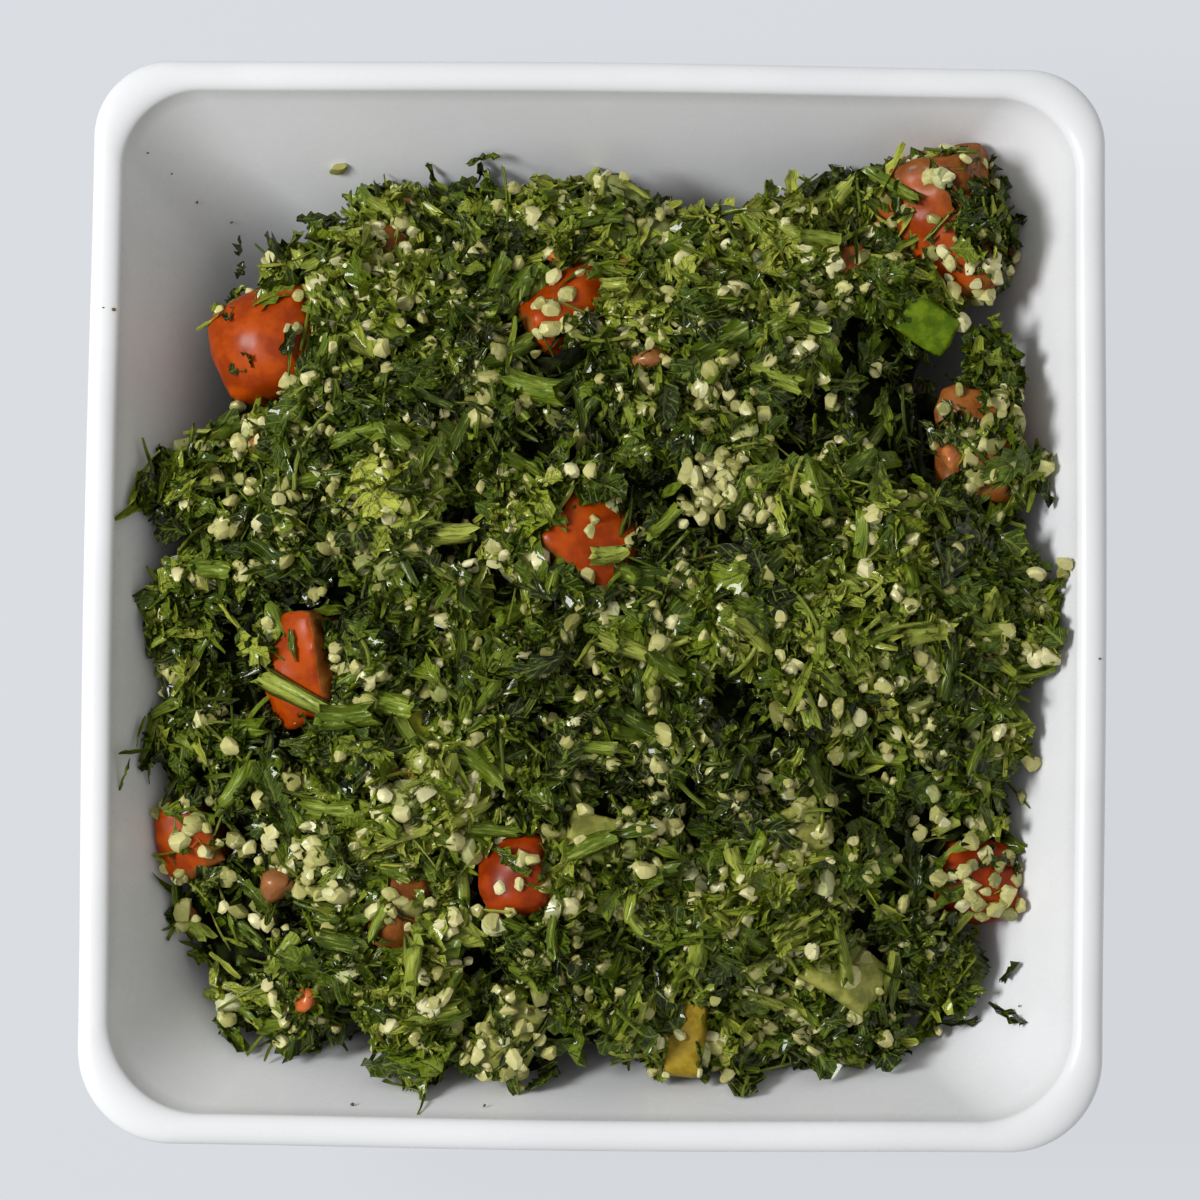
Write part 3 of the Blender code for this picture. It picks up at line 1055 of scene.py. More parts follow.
    def pick(self, many: int, rng: np.random.Generator) -> tuple[np.ndarray, np.ndarray, np.ndarray]:
        """Pick places evenly over the open surface.

        Args:
            many: How many.
            rng: Source of the places.

        Returns:
            The places, the directions they face, and the numbers of their nodes.
        """
        face = np.searchsorted(self.shares, rng.uniform(0.0, 0.999999, many))
        first, second = rng.uniform(size=(2, many))
        first, second = 1.0 - np.sqrt(first), np.sqrt(first) * second
        corners = self.corners[face]
        places = (corners[:, 0] + (corners[:, 1] - corners[:, 0]) * first[:, None]
                  + (corners[:, 2] - corners[:, 0]) * second[:, None])
        return places, self.facing[face], self.owners[face]

    def upward(self, x: np.ndarray, y: np.ndarray, wall: bool = False) -> np.ndarray:
        """Directions square to the smoothed surface.

        Args:
            x: Places along X.
            y: Places along Y.
            wall: Whether the bowl's inside is meant rather than the contents.

        Returns:
            One unit row for each place.
        """
        fields = (self.wall_slope_x, self.wall_slope_y) if wall else (self.slope_x, self.slope_y)
        normals = np.stack((-self.read(fields[0], x, y), -self.read(fields[1], x, y), np.ones(len(x))), -1)
        return normals / np.linalg.norm(normals, axis=1, keepdims=True)


def turns_to(normals: np.ndarray, yaw: np.ndarray) -> np.ndarray:
    """Rotation matrices that stand local Z on normals, after a turn about it.

    Args:
        normals: Unit rows.
        yaw: Turn about each normal, in radians.

    Returns:
        One 3 by 3 matrix for each row.
    """
    helper = np.zeros_like(normals)
    helper[:, 0] = 1.0
    side = np.cross(normals, helper)
    side /= np.linalg.norm(side, axis=1, keepdims=True) + 1e-12
    front = np.cross(side, normals)
    cos, sin = np.cos(yaw)[:, None], np.sin(yaw)[:, None]
    first = front * cos + side * sin
    second = np.cross(normals, first)
    return np.stack((first, second, normals), -1)


# ---------------------------------------------------------------------------------- scattered kinds

class Slot(Enum):
    """Material slots of the record."""

    PORCELAIN = "porcelain"
    HERBS = "chopped_herbs"
    TOMATO = "tomato"
    ONION = "onion"
    CUCUMBER = "cucumber"
    PEPPER = "pepper"


@dataclass
class Copies:
    """Where the copies of a kind lie.

    Attributes:
        places: Middle of each copy.
        turns: Rotation of each copy.
        sizes: Scale of each copy.
        tints: Tint of each copy, from 0 to 1.
    """

    places: np.ndarray
    turns: np.ndarray
    sizes: np.ndarray
    tints: np.ndarray

    def joined(self, other: "Copies") -> "Copies":
        """Put other copies after these.

        Args:
            other: The other copies.

        Returns:
            Both, as one.
        """
        return Copies(*(np.concatenate(pair) for pair in (
            (self.places, other.places), (self.turns, other.turns),
            (self.sizes, other.sizes), (self.tints, other.tints))))


def mesh_of(name: str, shapes: Sequence[Shape], copies: Copies, fits: Callable[[np.ndarray], np.ndarray],
            crease: float) -> bpy.types.Mesh:
    """Join copies of shapes, taken in turn, into one mesh with a tint map.

    Args:
        name: The mesh's name.
        shapes: The shapes.
        copies: Where they lie.
        fits: Tells from the copies' points which of them stay inside the bowl.
        crease: Angle from which an edge is sharp, in degrees, or 0 for none.

    Returns:
        The mesh.
    """
    all_points, all_faces, all_maps = [], [], []
    start = 0
    for number, shape in enumerate(shapes):
        picked = np.arange(number, len(copies.tints), len(shapes))
        if not len(picked):
            continue
        scaled = shape.points[None] * copies.sizes[picked][:, None, None]
        points = np.einsum("nij,npj->npi", copies.turns[picked], scaled) + copies.places[picked][:, None]
        inside = fits(points)
        points, picked = points[inside], picked[inside]
        count = len(shape.points)
        faces = shape.faces[None] + (start + np.arange(len(picked)) * count)[:, None, None]
        level = np.clip(np.floor(copies.tints[picked] * TINT_LEVELS), 0, TINT_LEVELS - 1)
        across = TINT_INSET + (1.0 - 2.0 * TINT_INSET) * shape.across[None]
        across = (level[:, None] + across) / TINT_LEVELS
        along = ALONG_INSET + (1.0 - 2.0 * ALONG_INSET) * shape.along
        maps = np.stack((across, np.broadcast_to(along, across.shape)), -1)
        all_points.append(points.reshape(-1, 3))
        all_faces.append(faces.reshape(-1, 3))
        all_maps.append(maps.reshape(-1, 2))
        start += count * len(picked)
    points, faces, maps = (np.concatenate(parts) for parts in (all_points, all_faces, all_maps))
    mesh = bpy.data.meshes.new(name)
    mesh.vertices.add(len(points))
    mesh.vertices.foreach_set("co", points.ravel())
    mesh.loops.add(faces.size)
    mesh.loops.foreach_set("vertex_index", faces.ravel())
    mesh.polygons.add(len(faces))
    mesh.polygons.foreach_set("loop_start", np.arange(0, faces.size, 3))
    mesh.update(calc_edges=True)
    mesh.uv_layers.new(name=TINT_MAP).data.foreach_set("uv", maps[faces.ravel()].ravel())
    mesh.shade_smooth()
    if crease:
        mesh.set_sharp_from_angle(angle=math.radians(crease))
    mesh.validate()
    return mesh


def show(name: str, mesh: bpy.types.Mesh, material: bpy.types.Material) -> bpy.types.Object:
    """Make a piece that rides on the one body.

    Args:
        name: The piece's name.
        mesh: Its mesh.
        material: Its material.

    Returns:
        The piece.
    """
    mesh.materials.clear()
    mesh.materials.append(material)
    piece = bpy.data.objects.new(name, mesh)
    bpy.context.scene.collection.objects.link(piece)
    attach(piece, "root")
    return piece


@dataclass(frozen=True)
class Cluster:
    """A place where a kind lies thicker.

    Attributes:
        middle: Its middle, in metres.
        reach: How far it spreads, in metres.
        many: How many fragments lie in it.
        lift: How high over the surface below they reach, in metres.
    """

    middle: Point2
    reach: float
    many: int
    lift: float = 0.001


@dataclass(frozen=True)
class Lone:
    """One fragment that lies in a place of its own.

    Attributes:
        place: Where, in metres.
        turn: Turn about the upward direction, in degrees.
        size: Scale.
        tint: Tint from 0 to 1.
        lift: Height over the surface below it, in metres.
    """

    place: Point2
    turn: float
    size: float = 1.0
    tint: float = 0.5
    lift: float = 0.0004


@dataclass
class Scatter:
    """One kind of fragment strewn over the heap.

    Attributes:
        name: The piece's name.
        form: What each fragment is shaped like.
        finish: What it is finished in.
        slot: The record's slot; not used.
        count: How many lie there, without clusters and lone ones.
        variety: How many different shapes there are.
        depth: Mean and spread of the depth under the surface, in metres.
        tilt: Spread of the lean away from the surface.
        tint: Least and greatest tint.
        seed: Picks the places.
        clusters: Where it lies thicker.
        lone: Fragments in places of their own.
        sizes: Smallest and largest scale.
        cover: Chance of staying on an open diced piece.
        stray: Spread of its direction about the tufts' own, in radians.
        crease: Angle from which an edge is sharp, in degrees, or 0 for none.
    """

    name: str
    form: Form
    finish: FragmentFinish
    slot: Slot
    count: int
    variety: int
    depth: Point2
    tilt: float
    tint: Point2
    seed: int
    clusters: tuple[Cluster, ...] = ()
    lone: tuple[Lone, ...] = ()
    sizes: Point2 = (0.7, 1.2)
    cover: float = 0.08
    stray: float = 0.7
    crease: float = 0.0

    def build(self, heap: "Heap") -> bpy.types.Object:
        """Strew the kind and make its piece.

        Args:
            heap: The heap it lies on.

        Returns:
            The piece.
        """
        rng = np.random.default_rng(self.seed)
        shapes = [self.form.shape(rng) for _ in range(self.variety)]
        copies = heap.strew(self, rng)
        for cluster in self.clusters:
            copies = copies.joined(heap.gather(self, cluster, rng))
        if self.lone:
            copies = copies.joined(heap.lay(self.lone))
        mesh = mesh_of(self.name, shapes, copies, heap.clear_of_wall, self.crease)
        return show(self.name, mesh, self.finish.make())


@dataclass
class Heap:
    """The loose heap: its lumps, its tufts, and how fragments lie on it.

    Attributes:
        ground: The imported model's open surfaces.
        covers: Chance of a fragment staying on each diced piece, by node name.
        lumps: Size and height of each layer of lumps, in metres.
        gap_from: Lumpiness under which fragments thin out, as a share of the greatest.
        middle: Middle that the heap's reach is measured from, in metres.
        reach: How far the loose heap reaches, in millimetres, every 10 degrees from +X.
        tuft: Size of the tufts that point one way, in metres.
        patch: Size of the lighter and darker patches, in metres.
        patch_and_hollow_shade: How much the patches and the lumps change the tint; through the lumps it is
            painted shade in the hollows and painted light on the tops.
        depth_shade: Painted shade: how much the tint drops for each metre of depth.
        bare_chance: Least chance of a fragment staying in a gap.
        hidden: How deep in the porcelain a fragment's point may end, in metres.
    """

    ground: Ground
    covers: dict[str, float]
    lumps: tuple[Point2, ...] = ((0.0125, 0.0026), (0.0066, 0.0023), (0.0034, 0.0010))
    gap_from: float = -0.05
    middle: Point2 = (0.0007, -0.0025)
    reach: tuple[float, ...] = (64.5, 54.5, 63.0, 58.0, 56.5, 82.0, 69.5, 57.0, 57.5, 60.5, 58.0, 59.5,
                                71.5, 70.0, 68.5, 61.0, 62.5, 56.0, 61.0, 60.0, 69.5, 72.0, 76.0, 75.5,
                                66.0, 61.0, 67.0, 53.0, 65.0, 69.5, 67.5, 71.5, 63.0, 68.0, 64.5, 55.5)
    tuft: float = 0.0065
    patch: float = 0.0110
    patch_and_hollow_shade: float = 0.34
    depth_shade: float = 105.0
    bare_chance: float = 0.10
    hidden: float = 0.0015

    # Seeds of the noises.
    LUMP_SEED = 70
    FLOW_SEED = 90
    PATCH_SEED = 91
    EDGE_SEED = 92
    # How lumps shift with height, calm down and sink over diced pieces, and lean the fragments.
    LUMP_SKEW = (0.7, -0.6)
    DICED_CALM = 0.7
    DICED_SINK = 0.0010
    LUMP_LEAN = 0.8
    SMOOTHING = 0.6
    SWIRL = 4.2
    # How uneven the heap's edge is, and how fragments thin out there and in gaps.
    EDGE_CELL = 0.005
    EDGE_UNEVEN = 0.0016
    EDGE_FADE = 0.0015
    GAP_FADE = 0.20
    # Depth past which the painted depth shade grows no darker, in metres.
    SHADE_DEPTH_LIMIT = 0.004
    # How fragments lie on diced pieces, on the bowl and in clusters.
    DICED_DEPTH = (-0.0006, 0.0001)
    DICED_LEAN = 0.12
    WALL_LEAN = 0.18
    WALL_GAP = 0.0005
    WALL_NEAR = 0.0016
    CLUSTER_LEAN = 0.7
    DENT = -0.0005

    @property
    def highest(self) -> float:
        """Height of the lumps where they all meet, in metres."""
        return sum(height for _, height in self.lumps)

    def relief(self, places: np.ndarray) -> np.ndarray:
        """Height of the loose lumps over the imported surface, less where diced pieces lie open.

        Args:
            places: One row each.

        Returns:
            The heights, in metres.
        """
        x, y = (places[:, axis] + places[:, 2] * skew for axis, skew in enumerate(self.LUMP_SKEW))
        total = np.zeros(len(places))
        for seed, (cell, height) in enumerate(self.lumps, start=self.LUMP_SEED):
            total += lattice_noise(x, y, cell, seed) * height
        diced = self.ground.read(self.ground.diced, places[:, 0], places[:, 1])
        return total * (1.0 - self.DICED_CALM * diced) - self.DICED_SINK * diced

    def _beyond(self, places: np.ndarray) -> np.ndarray:
        """How far places lie past the loose heap's uneven reach.

        Args:
            places: One row each.

        Returns:
            The distances, in metres, below 0 within the reach.
        """
        x, y = places[:, 0] - self.middle[0], places[:, 1] - self.middle[1]
        bearing = np.degrees(np.arctan2(y, x)) % 360.0
        reach = np.interp(bearing, np.arange(len(self.reach)) * 10.0, self.reach, period=360.0) * MM
        uneven = lattice_noise(places[:, 0], places[:, 1] + places[:, 2], self.EDGE_CELL, self.EDGE_SEED)
        return np.hypot(x, y) + uneven * self.EDGE_UNEVEN - reach

    def clear_of_wall(self, points: np.ndarray) -> np.ndarray:
        """Tell which copies don't come out through the porcelain.

        Args:
            points: Points of each copy, one row for each copy.

        Returns:
            True for each copy that stays.
        """
        wall = self.ground.read(self.ground.wall, points[:, :, 0], points[:, :, 1])
        return (wall - points[:, :, 2]).max(axis=1) < self.hidden

    def core_shift(self, places: np.ndarray, inside: float) -> np.ndarray:
        """How the core draws in under gaps and where it passes the loose heap's reach.

        Args:
            places: One row each.
            inside: How far within the reach the core stays, in metres.

        Returns:
            One shift for each place.
        """
        away = places[:, :2] - np.array(self.middle)
        away /= np.linalg.norm(away, axis=1, keepdims=True) + 1e-9
        past = np.maximum(self._beyond(places) + inside, 0.0)
        gap = np.maximum(-self.relief(places), 0.0)
        return np.column_stack((-away * past[:, None], -gap))

    def _lumpy(self, places: np.ndarray, normals: np.ndarray) -> np.ndarray:
        """Lean normals the way the loose lumps lean.

        Args:
            places: One row each.
            normals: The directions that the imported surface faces.

        Returns:
            The leaning directions, not yet of unit length.
        """
        step = self.ground.STEP
        leaning = normals.copy()
        here = self.relief(places)
        for axis in range(3):
            moved = places.copy()
            moved[:, axis] += step
            leaning[:, axis] -= self.LUMP_LEAN * (self.relief(moved) - here) / step
        return leaning

    def _yaw(self, places: np.ndarray, stray: float, rng: np.random.Generator) -> np.ndarray:
        """Directions in which fragments point, alike within a tuft."""
        flow = lattice_noise(places[:, 0], places[:, 1] + places[:, 2], self.tuft, self.FLOW_SEED)
        return flow * self.SWIRL + rng.normal(0.0, stray, len(places))

    def _tints(self, scatter: Scatter, places: np.ndarray, depth: np.ndarray,
               rng: np.random.Generator) -> np.ndarray:
        """Tints, moved by lighter and darker patches, with painted shade deeper down and in the hollows, and
        painted light on the lumps' tops.

        Args:
            scatter: The kind.
            places: One row each.
            depth: How deep each lies, in metres.
            rng: Source of the tints.

        Returns:
            One tint for each place, from 0 to 1.
        """
        tints = rng.uniform(*scatter.tint, len(places))
        tints += self.patch_and_hollow_shade * lattice_noise(places[:, 0], places[:, 1], self.patch, self.PATCH_SEED)
        # Painted shade in the hollows between lumps, and painted light on their tops.
        tints += self.patch_and_hollow_shade * self.relief(places) / self.highest
        # Painted shade: the deeper a fragment lies, the darker its tint, down to a limit.
        return np.clip(tints - np.clip(depth, 0.0, self.SHADE_DEPTH_LIMIT) * self.depth_shade, 0.0, 1.0)

    def strew(self, scatter: Scatter, rng: np.random.Generator) -> Copies:
        """Lay a kind's copies over the heap.

        Args:
            scatter: The kind.
            rng: Source of the places and turns.

        Returns:
            The copies.
        """
        ground = self.ground
        places, facing, owner = ground.pick(scatter.count * 3, rng)
        lumpiness = self.relief(places) / self.highest - self.gap_from
        chance = np.clip(lumpiness / self.GAP_FADE + 1.0, self.bare_chance, 1.0)
        chance *= np.clip(1.0 - self._beyond(places) / self.EDGE_FADE, 0.0, 1.0)
        for number, name in enumerate(ground.names):
            if name in self.covers:
                chance[owner == number] = self.covers[name] * scatter.cover
        kept = np.nonzero(rng.uniform(size=len(places)) < chance)[0]
        places, facing, owner = places[kept], facing[kept], owner[kept]
        loose = owner == 0
        normals = facing + ground.upward(places[:, 0], places[:, 1]) * self.SMOOTHING
        normals /= np.linalg.norm(normals, axis=1, keepdims=True)
        depth = rng.normal(scatter.depth[0], scatter.depth[1], len(places))
        depth = np.where(loose, depth, rng.uniform(*self.DICED_DEPTH, len(places)))
        leaning = np.where(loose[:, None], self._lumpy(places, normals), normals)
        places = places + normals * (np.where(loose, self.relief(places), 0.0) - depth)[:, None]
        wall = ground.read(ground.wall, places[:, 0], places[:, 1]) + self.WALL_GAP
        under = wall - places[:, 2]
        kept = np.nonzero(under < self.WALL_NEAR)[0][:scatter.count]
        places, leaning, loose, depth = places[kept], leaning[kept], loose[kept], depth[kept]
        places[:, 2] = np.maximum(places[:, 2], wall[kept])
        on_wall = (under[kept] > -self.WALL_NEAR)[:, None]
        leaning = np.where(on_wall, ground.upward(places[:, 0], places[:, 1], wall=True), leaning)
        lean = np.where(on_wall[:, 0], self.WALL_LEAN, np.where(loose, scatter.tilt, self.DICED_LEAN))
        leaning = leaning + rng.normal(size=leaning.shape) * lean[:, None]
        leaning /= np.linalg.norm(leaning, axis=1, keepdims=True)
        turns = turns_to(leaning, self._yaw(places, scatter.stray, rng))
        return Copies(places, turns, rng.uniform(*scatter.sizes, len(places)),
                      self._tints(scatter, places, depth, rng))

    def _on_top(self, x: np.ndarray, y: np.ndarray, lift: np.ndarray) -> np.ndarray:
        """Places at a height over what lies below them.

        Args:
            x: Places along X.
            y: Places along Y.
            lift: Height of each, in metres.

        Returns:
            One row for each place.
        """
        top = self.ground.read(self.ground.height, x, y)
        places = np.stack((x, y, top), -1)
        heap = self.ground.read(self.ground.owner, x, y) == 0
        places[:, 2] += lift + np.where(heap, np.maximum(self.relief(places), self.DENT), 0.0)
        return places

    def gather(self, scatter: Scatter, cluster: Cluster, rng: np.random.Generator) -> Copies:
        """Lay a cluster's copies.

        Args:
            scatter: The kind.
            cluster: The cluster.
            rng: Source of the places and turns.

        Returns:
            The copies.
        """
        x, y = rng.normal(0.0, cluster.reach / 2.0, (2, cluster.many))
        x, y = x + cluster.middle[0], y + cluster.middle[1]
        places = self._on_top(x, y, rng.uniform(0.0, cluster.lift, cluster.many))
        leaning = rng.normal(size=places.shape) * scatter.tilt * self.CLUSTER_LEAN
        leaning += self.ground.upward(x, y)
        leaning /= np.linalg.norm(leaning, axis=1, keepdims=True)
        turns = turns_to(leaning, self._yaw(places, scatter.stray, rng))
        return Copies(places, turns, rng.uniform(*scatter.sizes, cluster.many),
                      rng.uniform(*scatter.tint, cluster.many))

    def lay(self, lone: Sequence[Lone]) -> Copies:
        """Lay fragments in places of their own.

        Args:
            lone: The fragments.

        Returns:
            The copies.
        """
        x, y = np.array([one.place for one in lone]).T
        places = self._on_top(x, y, np.array([one.lift for one in lone]))
        turns = turns_to(self.ground.upward(x, y), np.radians([one.turn for one in lone]))
        return Copies(places, turns, np.array([one.size for one in lone]),
                      np.array([one.tint for one in lone]))


# -------------------------------------------------------------------------------- solid pieces

@dataclass
class Core:
    """The matted inside of the heap, which the fragments lie on.

    Attributes:
        heap: The heap it carries.
        sink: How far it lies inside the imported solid, in metres.
        inside: How far it stays inside the loose heap's reach, in metres.
        low: Height over which its top follows the gaps, in metres.
        voxel: Size of its mesh, in metres.
        rough: Height of its roughness, in metres.
        rough_rate: Lumps of its roughness in a metre.
    """

    heap: Heap
    sink: float = 0.0024
    inside: float = 0.0030
    low: float = 0.0200
    voxel: float = 0.0018
    rough: float = 0.0008
    rough_rate: float = 450.0

    LEVEL_FROM = 0.5

    def build(self) -> bpy.types.Object:
        """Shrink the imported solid, roughen it and dress it.

        Returns:
            The piece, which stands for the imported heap.
        """
        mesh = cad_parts[HEAP_NODE].data.copy()
        piece = show("salad_core", mesh, CoreFinish().make())
        remesh(piece, self.voxel)
        places, normals = vertex_arrays(piece.data)
        above = np.clip(normals[:, 2] / self.LEVEL_FROM, 0.0, 1.0) * (places[:, 2] > self.low)
        rough = solid_noise(places, self.rough_rate) * self.rough
        shift = self.heap.core_shift(places, self.inside)
        shift[:, 2] *= above
        places += shift + normals * (rough - self.sink)[:, None]
        piece.data.vertices.foreach_set("co", places.ravel())
        piece.data.update()
        piece.data.shade_smooth()
        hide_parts(HEAP_NODE)
        return piece


def solid_noise(places: np.ndarray, rate: float) -> np.ndarray:
    """Smooth noise through space, one value for each place, with lumps of 1 / rate metres."""
    return np.array([noise.noise(Vector(place) * rate) for place in places])


def vertex_arrays(mesh: bpy.types.Mesh) -> tuple[np.ndarray, np.ndarray]:
    """Read a mesh's vertices.

    Args:
        mesh: The mesh.

    Returns:
        Their places and their normals, one row each.
    """
    arrays = []
    for values, name in ((mesh.vertices, "co"), (mesh.vertex_normals, "vector")):
        flat = np.zeros(len(values) * 3)
        values.foreach_get(name, flat)
        arrays.append(flat.reshape(-1, 3))
    return arrays[0], arrays[1]


def apply_modifiers(piece: bpy.types.Object) -> None:
    """Turn a piece's modifiers into its mesh.

    Args:
        piece: The piece.
    """
    depsgraph = bpy.context.evaluated_depsgraph_get()
    mesh = bpy.data.meshes.new_from_object(piece.evaluated_get(depsgraph))
    piece.modifiers.clear()
    piece.data = mesh


def remesh(piece: bpy.types.Object, voxel: float) -> None:
    """Rebuild a piece's mesh from even cells.

    Args:
        piece: The piece.
        voxel: Size of a cell, in metres.
    """
    cells = piece.modifiers.new("cells", "REMESH")
    cells.mode = "VOXEL"
    cells.voxel_size = voxel
    apply_modifiers(piece)


@dataclass(frozen=True)
class Dice:
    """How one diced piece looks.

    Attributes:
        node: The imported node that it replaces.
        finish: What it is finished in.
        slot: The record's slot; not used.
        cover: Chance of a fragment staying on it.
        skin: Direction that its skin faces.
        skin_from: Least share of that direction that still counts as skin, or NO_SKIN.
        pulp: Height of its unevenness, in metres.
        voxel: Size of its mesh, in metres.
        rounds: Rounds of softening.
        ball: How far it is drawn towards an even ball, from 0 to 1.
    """

    node: str
    finish: FleshFinish
    slot: Slot
    cover: float
    skin: tuple[float, float, float] = UP
    skin_from: float = NO_SKIN
    pulp: float = 0.00035
    voxel: float = 0.00072
    rounds: int = 10
    ball: float = 0.0

    SOFTENING = 0.6
    REGROWTH = 0.6
    SKIN_EDGE = 2.0
    FINE_RATE = 420.0
    COARSE_RATE = 160.0
    CUT_ROUGHNESS = 1.3

    def build(self) -> bpy.types.Object:
        """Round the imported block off, make its cut sides uneven, and dress it.

        Returns:
            The piece.
        """
        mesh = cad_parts[self.node].data.copy()
        material = bpy.data.materials.get(self.finish.name) or self.finish.make()
        piece = show(self.node + "_cut", mesh, material)
        wanted, _ = vertex_arrays(piece.data)
        remesh(piece, self.voxel)
        soften = piece.modifiers.new("soften", "SMOOTH")
        soften.factor = self.SOFTENING
        soften.iterations = self.rounds
        apply_modifiers(piece)
        mesh = piece.data
        places, normals = vertex_arrays(mesh)
        scale = (wanted.max(0) - wanted.min(0)) / (places.max(0) - places.min(0))
        regrown = (places - places.min(0)) * scale + wanted.min(0)
        places += (regrown - places) * self.REGROWTH
        middle, half = (wanted.max(0) + wanted.min(0)) / 2.0, (wanted.max(0) - wanted.min(0)) / 2.0
        unit = (places - middle) / half
        even = middle + unit / np.linalg.norm(unit, axis=1, keepdims=True) * half
        places += (even - places) * self.ball
        facing = np.array(self.skin) / np.linalg.norm(self.skin)
        peel = np.clip(0.5 + (normals @ facing - self.skin_from) * self.SKIN_EDGE, 0.0, 1.0)
        uneven = solid_noise(places, self.FINE_RATE) * (self.CUT_ROUGHNESS - peel)
        uneven += solid_noise(places, self.COARSE_RATE)
        places += normals * (uneven * self.pulp)[:, None]
        mesh.vertices.foreach_set("co", places.ravel())
        mesh.attributes.new("skin", "FLOAT", "POINT").data.foreach_set("value", peel)
        mesh.update()
        mesh.shade_smooth()
        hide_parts(self.node)
        return piece


@dataclass
class Bowl:
    """The porcelain bowl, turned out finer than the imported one.

    Attributes:
        far_radius: Radius of the two far corners, in metres.
        near_radius: Radius of the two near corners, in metres.
        bow: How far each side bows out, in metres.
        foot_height: Height of the foot ring.
        foot_inset: Inset of the foot ring from the rim.
        foot_ring: Width of the foot ring.
        flare: Inset of the outer wall's foot.
        flare_curve: Share of the flare that is curved.
        rim: Width of the rim.
        rim_round: Height of the rim's rounding.
        floor: Height of the inner floor.
        fillet: Reach of the fillet round the floor.
        corner_steps: Points of each corner.
        side_steps: Points of each side.
        wall_rows: Rows of each wall.
        rim_step: Turn from one ring of the rim to the next, in degrees.
        fillet_steps: Rings of the fillet round the floor.
    """

    far_radius: float = 0.0106
    near_radius: float = 0.0128
    bow: float = 0.0004
    foot_height: float = 0.0030
    foot_inset: float = 0.0340
    foot_ring: float = 0.0050
    flare: float = 0.0322
    flare_curve: float = 0.25
    rim: float = 0.0042
    rim_round: float = 0.0015
    floor: float = 0.0070
    fillet: float = 0.0080
    corner_steps: int = 20
    side_steps: int = 24
    wall_rows: int = 18
    rim_step: int = 15
    fillet_steps: int = 6

    FOOT_OUTSIDE = ((0.0, 0.0006), (0.0002, 0.0002), (0.0006, 0.0))
    FOOT_INSIDE = ((0.0020, 0.0014), (0.0016, 0.0008), (0.0004, 0.0002), (0.0, -0.0004))
    FOOT_SOFT_TOP = (-0.0004, -0.0002)
    FILLET_RISE = 0.45
    RIM_DRAW = 0.7
    SHARP = 60.0

    def __post_init__(self) -> None:
        """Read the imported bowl's size."""
        low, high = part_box(BOWL_NODE)
        self.half = Vector(((high[0] - low[0]) / 2.0, (high[1] - low[1]) / 2.0))
        self.height = high[2] - low[2]

    def outline(self, inset: float) -> list[Vector]:
        """Points of the rounded, slightly bowed square that lies inset from the rim's edge.

        Args:
            inset: How far it lies inside the rim's edge, in metres.

        Returns:
            The points, anticlockwise.
        """
        half_x, half_y = self.half.x - self.bow - inset, self.half.y - self.bow - inset
        quarters = ((1, 1, self.far_radius), (-1, 1, self.far_radius),
                    (-1, -1, self.near_radius), (1, -1, self.near_radius))
        arcs = []
        for index, (side_x, side_y, radius) in enumerate(quarters):
            centre = Vector((side_x * (half_x - radius), side_y * (half_y - radius)))
            angles = [math.radians(90.0) * (index + step / self.corner_steps)
                      for step in range(self.corner_steps + 1)]
            arcs.append([centre + radius * Vector((math.cos(a), math.sin(a))) for a in angles])
        points = []
        for index, arc in enumerate(arcs):
            points.extend(arc)
            start, end = arc[-1], arcs[(index + 1) % 4][0]
            outward = Vector(((end - start).y, -(end - start).x)).normalized()
            for step in range(1, self.side_steps):
                along = step / self.side_steps
                bow = self.bow * (1.0 - (2.0 * along - 1.0) ** 2) ** 2
                points.append(start.lerp(end, along) + outward * bow)
        return points

    def _left(self, fraction: float) -> float:
        """Share of the flare still to come at a fraction of the wall's height."""
        left = 1.0 - fraction
        return left * (1.0 - self.flare_curve) + left * left * self.flare_curve

    def levels(self) -> list[Point2]:
        """Heights and insets from the recess under the foot round to the inner floor.

        Returns:
            (height, inset) pairs.
        """
        ring = self.foot_inset + self.foot_ring
        levels = [(height, ring + inset) for height, inset in self.FOOT_INSIDE]
        levels += [(height, self.foot_inset + inset) for height, inset in self.FOOT_OUTSIDE]
        levels.append((self.foot_height + self.FOOT_SOFT_TOP[0], self.foot_inset + self.FOOT_SOFT_TOP[1]))
        top = self.height - self.rim_round
        for row in range(self.wall_rows + 1):
            fraction = row / self.wall_rows
            levels.append((self.foot_height + (top - self.foot_height) * fraction,
                           self.flare * self._left(fraction)))
        half_rim = self.rim / 2.0
        for degrees in range(self.rim_step, 180, self.rim_step):
            angle = math.radians(degrees)
            levels.append((top + self.rim_round * math.sin(angle), half_rim - half_rim * math.cos(angle)))
        fillet_top = self.floor + self.fillet * self.FILLET_RISE
        span = self.flare - self.rim * self.RIM_DRAW
        for row in range(self.wall_rows + 1):
            height = top + (fillet_top - top) * row / self.wall_rows
            fraction = (height - self.floor) / (top - self.floor)
            levels.append((height, self.rim + span * self._left(fraction)))
        base = levels[-1][1]
        for step in range(1, self.fillet_steps + 1):
            angle = math.radians(90.0) * step / self.fillet_steps
            levels.append((fillet_top - (fillet_top - self.floor) * math.sin(angle),
                           base + self.fillet * (1.0 - math.cos(angle))))
        return levels

